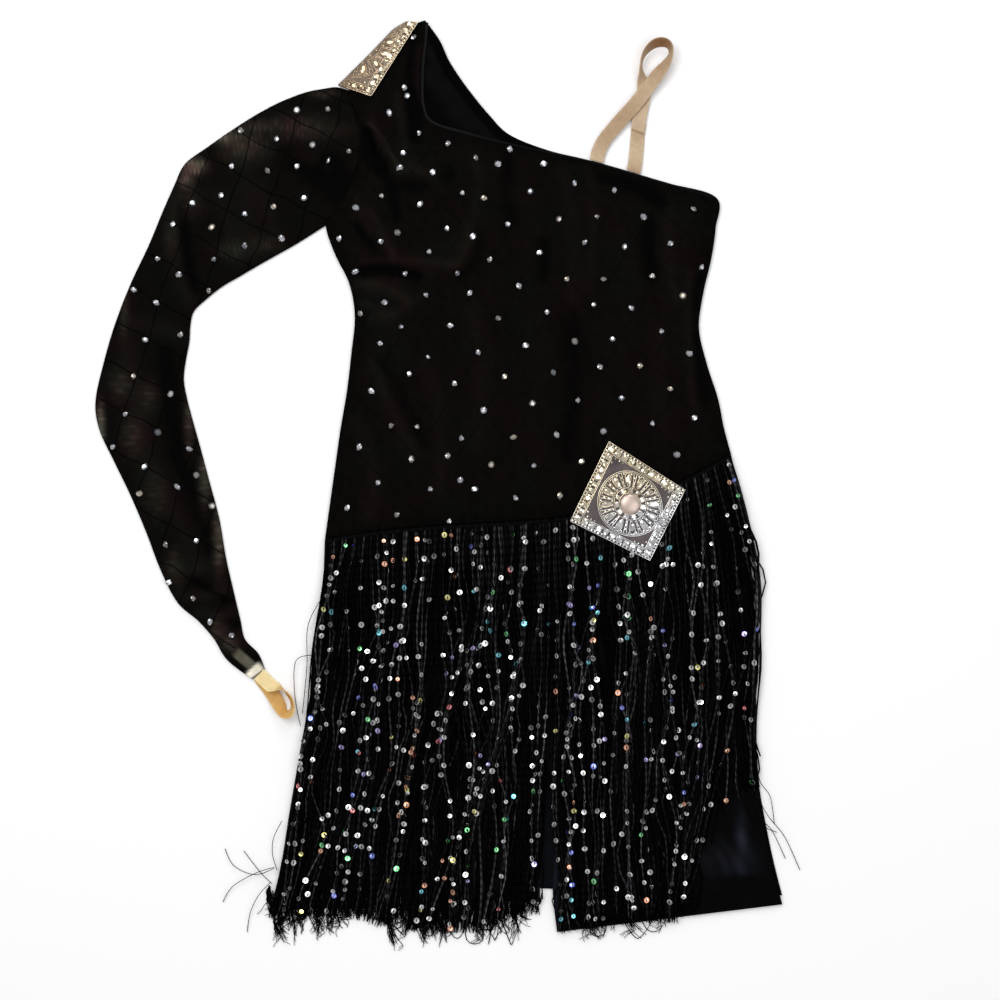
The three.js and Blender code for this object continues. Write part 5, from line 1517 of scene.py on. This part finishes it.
# across from the inner edge (0) to the fold (1) and back under, height of the plate's middle
folded_plate = np.array([
    (0, 8.6), (0.06, 8.5), (0.2, 8.2), (0.26, 8), (0.45, 7.6), (0.62, 7), (0.8, 6.2), (0.94, 4.9),
    (1, 3), (0.95, 1.2), (0.86, 0.75), (0.15, 0.75)])
FOLD_ROWS = 9
shoulder_fold_line = np.array([
    (-99.4, 362.7), (-86.6, 375.3), (-73, 388.8), (-60.6, 401.6), (-49.4, 413), (-38.4, 419.4)])
shoulder_inner_edge = np.array([
    (-69, 352), (-60.6, 365.3), (-52.2, 378.6), (-43.8, 391.9), (-35.4, 405.2), (-27, 418)])


def shoulder_width(v):
    """How much of the folded applique shows from its inner edge to its fold, in millimetres."""
    along = (1 - v.ravel()) / 2
    way = smooth_rows(shoulder_fold_line, along) - smooth_rows(shoulder_inner_edge, along)
    return np.linalg.norm(way, axis=1).reshape(v.shape)


def shoulder_surface(u, v):
    """A place on the shoulder applique's outside: v along the shoulder from its upper end, and u
    from the inner edge at -1 towards the fold, at the applique's true width."""
    along = (1 - v.ravel()) / 2
    inner = smooth_rows(shoulder_inner_edge, along)
    outer = smooth_rows(shoulder_fold_line, along)
    width = np.linalg.norm(outer - inner, axis=1)
    part = np.clip((u.ravel() + 1) * APPLIQUE_HALF / width, 0, 1)
    plan = inner + (outer - inner) * (part * (1 - PLATE / 2 / width))[:, None]
    high = np.interp(part, folded_plate[:FOLD_ROWS, 0], folded_plate[:FOLD_ROWS, 1]) + PLATE / 2
    return np.column_stack([plan, high]).reshape(*u.shape, 3)


def surface_way(surface, u, v, gap=0.01):
    """Normals of a surface and its ways of growing u and v, from its places a small gap apart."""
    by_u = surface(u + gap, v) - surface(u - gap, v)
    by_v = surface(u, v + gap) - surface(u, v - gap)
    normal = np.cross(by_u, by_v)
    return unit(normal), by_u, by_v


def square_run(reach, count, closed=False):
    """Places at equal steps round a square of half width reach, from its right side's middle."""
    s = (np.arange(count + closed) / count * 4 + 1.5) % 4
    side = np.minimum(s.astype(int), 3)
    t = (s - side) * 2 - 1
    ones = np.ones(len(s))
    u, v = np.choose(side, [t, ones, -t, -ones]), np.choose(side, [-ones, t, ones, -t])
    return reach * u, reach * v


def stone_places(shift):
    """Rows of u, v, turn, half length and half width for all the stones but the middle one."""
    rows = []
    for count, start, out, half_long, half_wide in stone_rings:
        turn = 2 * np.pi * (np.arange(count) + start) / count
        rows.append((shift + out * np.cos(turn), out * np.sin(turn), turn, half_long, half_wide))
    for count, out, half_long in side_rows:
        u, v = square_run(out, 4 * count)
        rows.append((u, v, 0 * u, half_long, half_long))
    for one, other, half_long in corner_stones:
        u = one * np.array([1, -1, 1, -1])
        v = other * np.array([1, 1, -1, -1])
        rows.append((u, v, 0 * u, half_long, half_long))
    return np.vstack([np.column_stack(np.broadcast_arrays(*row)) for row in rows])


def wire_runs(shift):
    """Runs of u and v for the wires: circles, squares, an outline round each petal that narrows
    towards the middle, and a pair of spokes between two petals."""
    turn = np.linspace(0, 2 * np.pi, WIRE_STATIONS)
    runs = [(out * np.cos(turn), out * np.sin(turn)) for out in (0.255, 0.372, 0.718, 0.752)]
    for petal in 2 * np.pi * np.arange(PETALS) / PETALS:
        cos, sin = np.cos(petal), np.sin(petal)
        out = PETAL_OUT + 0.148 * np.cos(turn)
        side = 0.086 * np.sin(turn) * (0.75 + 0.25 * np.cos(turn))
        runs.append((out * cos - side * sin, out * sin + side * cos))
        spoke = np.linspace(0.39, 0.70, WIRE_STATIONS)
        for side in (-0.07, 0.07):
            angle = petal + np.pi / PETALS + side * spoke
            runs.append((spoke * np.cos(angle), spoke * np.sin(angle)))
    runs = [(u + shift, v) for u, v in runs]
    return runs + [square_run(out, WIRE_STATIONS - 1, True) for out in (0.786, 0.815, 0.935, 1.0)]


def shown_part(u, v, shown):
    """The longest unbroken part of a run that shows, at as many stations; None if it's too short."""
    change = np.flatnonzero(np.diff(np.concatenate([[False], shown, [False]]).astype(int)))
    if not len(change):
        return None
    start, end = change.reshape(-1, 2)[np.diff(change.reshape(-1, 2), axis=1).argmax()]
    if end - start < WIRE_STATIONS / 5:
        return None
    place = np.linspace(start, end - 1, WIRE_STATIONS)
    number = np.arange(WIRE_STATIONS)
    return np.interp(place, number, u), np.interp(place, number, v)


def smooth_dome(rings=6, sides=24):
    """A polished half-round stone of radius 1 with a flat back."""
    rise = np.pi / 2 * np.arange(rings)[:, None] / rings
    turn = 2 * np.pi * np.arange(sides) / sides
    wall = np.stack(np.broadcast_arrays(
        np.cos(rise) * np.cos(turn), np.cos(rise) * np.sin(turn), np.sin(rise)), -1)
    at = np.arange(rings * sides).reshape(rings, sides)
    after = np.roll(at, -1, axis=1)
    closing = np.vstack([np.stack([at[-1], after[-1], np.full(sides, at.size)], -1),
                         np.stack([after[0], at[0], np.full(sides, at.size + 1)], -1)])
    points = np.vstack([wall.reshape(-1, 3), [(0, 0, 1), (0, 0, 0)]])
    return points, [ring_wall(at), closing]


def applique(name, surface, color_at, reaches, shift):
    """Stones and wires of one applique on its own surface, where they show. color_at gives a
    stone's colour, reaches tells how far from the fold a place is, and the rings' middle is at a
    shift in u."""
    stones = stone_places(shift)
    room = reaches(stones[:, 0], stones[:, 1]) / APPLIQUE_HALF
    shown = room > stones[:, 3] * 0.3
    u, v, turn = stones[shown, :3].T
    half_long, half_wide = np.minimum(stones[shown, 3:], room[shown, None]).T
    normal, by_u, by_v = surface_way(surface, u, v)
    heading = by_u * np.cos(turn)[:, None] + by_v * np.sin(turn)[:, None]
    deep = np.minimum(half_wide * 1.3, STONE_DEEP)
    sizes = np.column_stack([half_long, half_wide, deep]) * APPLIQUE_HALF
    points, faces = scatter_copies(faceted_stone(crown=0.5), surface(u, v) + normal * 0.02,
                                   normal + draw.normal(0, 0.24, normal.shape), heading, sizes)
    colors = np.clip(color_at(u, v) * draw.uniform(0.8, 1.15, (len(u), 1)), 0, 1)
    gems = new_piece(f"{name}_stones", points, [faces], stone_finish, smooth=False,
                     tint=painted_facet_light(draw, colors, 0.6))
    fit(gems, "rhinestone")

    paths, tints = [], []
    for u, v in wire_runs(shift):
        run = shown_part(u, v, reaches(u, v) > WIRE_HALF)
        if run is not None:
            paths.append(surface(*run) + surface_way(surface, *run)[0] * 0.1)
            tints.append(color_at(*run))
    points, faces, _ = strands_mesh(np.stack(paths), WIRE_HALF, WIRE_HIGH, WIRE_CORNERS)
    wires = new_piece(f"{name}_wires", points, faces, wire_finish,
                      tint=np.repeat(np.vstack(tints), WIRE_CORNERS, axis=0))
    fit(wires, "rhinestone")


wire_finish = painted(new_finish("applique_wire", (0.80, 0.72, 0.62), 0.3, 0.5, 1.0))
felt_finish = new_finish("applique_felt", (0.10, 0.08, 0.08), 0.6, 0.3)
feed(felt_finish, "Base Color", patches(
    felt_finish, 0.012, [(0.050, 0.040, 0.041), (0.12, 0.096, 0.093)]))
bronze_felt_finish = new_finish("bronze_felt", (0.22, 0.16, 0.11), 0.5, 0.4)
feed(bronze_felt_finish, "Base Color", patches(
    bronze_felt_finish, 0.010, [(0.085, 0.060, 0.040), (0.21, 0.155, 0.105)]))
pearl_finish = new_finish("domed_stone", ROSE, 0.35, 0.6, 0.6)

draw = np.random.default_rng(APPLIQUE_SEED)
u, v = np.meshgrid(np.linspace(-1, 1, HIP_STEPS), np.linspace(1, -1, HIP_STEPS))
hip_face = hip_surface(u, v)
hip_backing = new_piece("hip_applique_backing", *thin_shell(
    hip_face[..., 0], hip_face[..., 1], hip_face[..., 2], np.full(u.shape, HIP_BASE)), felt_finish)
fit(hip_backing, "rhinestone", "hip_applique")


def hip_color(u, v):
    """Champagne at the upper left, silver at the lower right."""
    return CHAMPAGNE + (SILVER - CHAMPAGNE) * smoothstep((u - v) / 2, -0.25, 0.35)[..., None]


applique("hip_applique", hip_surface, hip_color, lambda u, v: np.full(u.shape, APPLIQUE_HALF),
         HIP_SHIFT)
points, faces = smooth_dome()
middle = hip_surface(np.full(1, HIP_SHIFT), np.zeros(1))[0]
dome = new_piece("hip_applique_dome", points * DOME_SIZE + middle, faces, pearl_finish)
fit(dome, "rhinestone")

part = np.linspace(0, 1, PLATE_STEPS)
profile = smooth_rows(folded_plate, part)
inner = smooth_rows(shoulder_inner_edge, part)[:, None]
way = smooth_rows(shoulder_fold_line, part)[:, None] - inner
reach = profile[:, :1] * (1 - PLATE / 2 / np.linalg.norm(way, axis=-1, keepdims=True))
high = np.broadcast_to(profile[:, 1:], (PLATE_STEPS, PLATE_STEPS, 1))
middle = np.concatenate([inner + way * reach, high], -1)
outward = unit(np.cross(np.gradient(middle, axis=1), np.gradient(middle, axis=0))) * PLATE / 2
outside, under = (side.transpose(1, 0, 2) for side in (middle + outward, middle - outward))
shoulder_backing = new_piece("shoulder_applique_backing", *closed_wall(outside, under),
                             bronze_felt_finish)
fit(shoulder_backing, "rhinestone", "shoulder_applique")
applique("shoulder_applique", shoulder_surface,
         lambda u, v: BRONZE + (CHAMPAGNE - BRONZE) * smoothstep(-u, 0.72, 0.9)[..., None] * 0.5,
         lambda u, v: shoulder_width(v) * 0.97 - (u + 1) * APPLIQUE_HALF, SHOULDER_SHIFT)

# ---------------------------------------------------------------- straps and finger loop
# Woven half-inch elastic: nude for the two straps, sewn on inside the bodice's top edge, and cream
# for the finger loop, whose two ends lie on each other inside the sleeve's end.
ELASTIC_WIDE = 12.7
ELASTIC = 1.2
BAND_ROWS, BAND_COLUMNS = 120, 16
# x, y, z, heading of the width, tilt, how lit the face is painted (0 in shade, 1 in full light)
strap_long = np.array([
    (133.6, 294.2, 2.4, -16, 0, 1.0),
    (136, 304, 2.6, -20, 0, 0.85),
    (141, 313.5, 3, -30, 0, 0.64),
    (149, 323.5, 3.6, -36, 0, 0.60),
    (158.5, 334.5, 4.2, -38, 0, 0.55),
    (168.5, 345.5, 4.6, -38, 0, 0.68),
    (179, 359, 5, -37, 8, 0.80),
    (189.5, 373, 6, -36, 28, 0.66),
    (196.5, 382.3, 7.2, -28, 52, 0.62),
    (200.4, 390.8, 7.6, -8, 74, 0.70),
    (199.3, 397.4, 7.6, 40, 70, 0.25),
    (194.2, 400.6, 7.5, 80, 60, 0.0),
    (186.8, 399.8, 7.6, 110, 58, 0.08),
    (180, 395, 7.6, 135, 66, 0.35),
    (175.2, 387.6, 7.6, 160, 76, 0.7),
    (173.6, 379, 7.2, 180, 78, 0.8),
    (174.6, 371, 6, 184, 56, 0.8),
    (176.2, 363.5, 3.2, 182, 20, 0.85),
    (176.6, 355.5, 2.4, 178, 0, 0.95),
    (174.8, 345.5, 2.4, 172, 0, 0.95),
    (172.6, 334.5, 2.4, 166, 0, 1.0),
    (171, 321, 2.4, 160, 0, 0.8),
])
strap_short = np.array([
    (166.8, 284.7, 2.4, -18, 0, 0.45),
    (168.4, 292, 2, -14, 0, 0.85),
    (169.6, 302, 1.2, -6, 0, 1.0),
    (170.4, 311, 0.9, -6, 0, 0.9),
    (171, 319, 0.9, -16, 0, 0.7),
    (172.4, 329, 0.9, -14, 0, 0.6),
])
finger_loop = np.array([
    (-170.4, -167.6, 2.3, 46, 0, 1.0),
    (-166.6, -171.4, 2.3, 46, 0, 1.0),
    (-162.4, -175.4, 2.5, 45, 0, 1.0),
    (-158.4, -178.7, 3.3, 42, -12, 1.0),
    (-154.2, -179.7, 5.7, 40, -48, 0.9),
    (-149.3, -180.6, 7.1, 38, -88, 0.15),
    (-144.0, -185.4, 7.1, 33, -104, 0.0),
    (-140.4, -191.6, 7.0, 20, -107, 0.1),
    (-139.6, -198.4, 6.8, -2, -112, 0.5),
    (-142.5, -203.0, 6.3, -50, -122, 0.3),
    (-147.2, -202.0, 5.4, -105, -138, 0.1),
    (-150.7, -197.6, 3.6, -132, -157, 0.15),
    (-154.4, -191.4, 2.2, -143, -168, 0.2),
    (-158.2, -185.4, 1.3, -145, -176, 0.15),
    (-162.4, -179.4, 1.0, -140, -180, 0.1),
    (-166.8, -173.8, 1.0, -135, -180, 0.1),
    (-170.2, -169.4, 1.0, -134, -180, 0.1),
])


def elastic_band(name, table, finish, in_shade, in_light):
    """A flat band with soft edges: at each row its width points along the heading and tips up by
    the tilt, its face is the cross product of its way and its width, and its colour is painted in
    shade where the table's last column is 0 and in full light where it is 1."""
    row = smooth_rows(table, np.linspace(0, 1, BAND_ROWS))
    middle = row[:, :3]
    heading, tilt = np.radians(row[:, 3:5].T)
    level = np.stack([np.cos(heading), np.sin(heading)], 1) * np.cos(tilt)[:, None]
    width = np.column_stack([level, np.sin(tilt)])
    face = unit(np.cross(unit(np.gradient(middle, axis=0)), width))
    part = np.linspace(-1, 1, BAND_COLUMNS + 1)
    thick = ELASTIC / 2 * (1 - 0.55 * np.abs(part) ** 9)
    section_wide = np.concatenate([part, part[::-1]]) * ELASTIC_WIDE / 2
    section_out = np.concatenate([thick, -thick[::-1]])
    points = (middle[:, None] + width[:, None] * section_wide[:, None]
              + face[:, None] * section_out[:, None])
    at = np.arange(BAND_ROWS * len(section_wide)).reshape(BAND_ROWS, -1)
    faces = [ring_wall(at), np.vstack([at[:1, ::-1], at[-1:]])]
    reach = np.cumsum(np.linalg.norm(np.diff(middle, axis=0, prepend=middle[:1]), axis=1))
    uv = np.stack(np.broadcast_arrays(section_wide, reach[:, None]), -1).reshape(-1, 2) * MM
    level = (row[:, 5:] + 0.3 * np.abs(section_wide * 2 / ELASTIC_WIDE) ** 6).reshape(-1, 1)
    tint = np.array(in_shade) + (np.array(in_light) - in_shade) * level
    band = new_piece(name, points.reshape(-1, 3), faces, finish, uv, tint)
    return band, float(reach[-1]) * MM


def elastic_finish(name):
    """Woven elastic: fine ribs along the band and finer picks across it."""
    finish = new_finish(name, (0.5, 0.36, 0.2), 0.7, 0.2)
    places = step(finish, "UVMap", {}, uv_map="cloth").outputs["UV"]
    ribs = thread_wave(finish, places, 0.8, "X")
    picks = thread_wave(finish, places, 0.45, "Y")
    threads = reckon(finish, "MULTIPLY", ribs, picks)
    soft = step(finish, "TexNoise", {"Vector": places, "Scale": 190.0, "Detail": 3.0}).outputs["Fac"]
    level = reckon(finish, "MULTIPLY_ADD", threads, 0.12, soft)
    level = step(finish, "MapRange", {"Value": level, "From Min": 0.25, "From Max": 0.85,
                                      "To Min": 0.86, "To Max": 1.12}).outputs["Result"]
    shaded(finish, step(finish, "CombineXYZ", {0: level, 1: level, 2: level}).outputs[0])
    bump = step(finish, "Bump", {"Height": threads, "Strength": 0.4, "Distance": 0.0001})
    feed(finish, "Normal", bump.outputs["Normal"])
    return finish


nude_finish = elastic_finish("nude_elastic")
cream_finish = elastic_finish("cream_elastic")
NUDE_IN_SHADE, NUDE_IN_LIGHT = (0.24, 0.12, 0.048), (0.50, 0.375, 0.25)
CREAM_IN_SHADE, CREAM_IN_LIGHT = (0.56, 0.29, 0.065), (0.80, 0.63, 0.33)
# node, slot, table, finish, colour painted in shade, colour painted in light
elastics = (
    ("strap_long", "nude_elastic", strap_long, nude_finish, NUDE_IN_SHADE, NUDE_IN_LIGHT),
    ("strap_short", "nude_elastic", strap_short, nude_finish, NUDE_IN_SHADE, NUDE_IN_LIGHT),
    ("finger_loop", "cream_elastic", finger_loop, cream_finish, CREAM_IN_SHADE, CREAM_IN_LIGHT),
)
for node, slot, table, finish, in_shade, in_light in elastics:
    band, length = elastic_band(f"{node}_elastic", table, finish, in_shade, in_light)
    fit(band, slot, node)
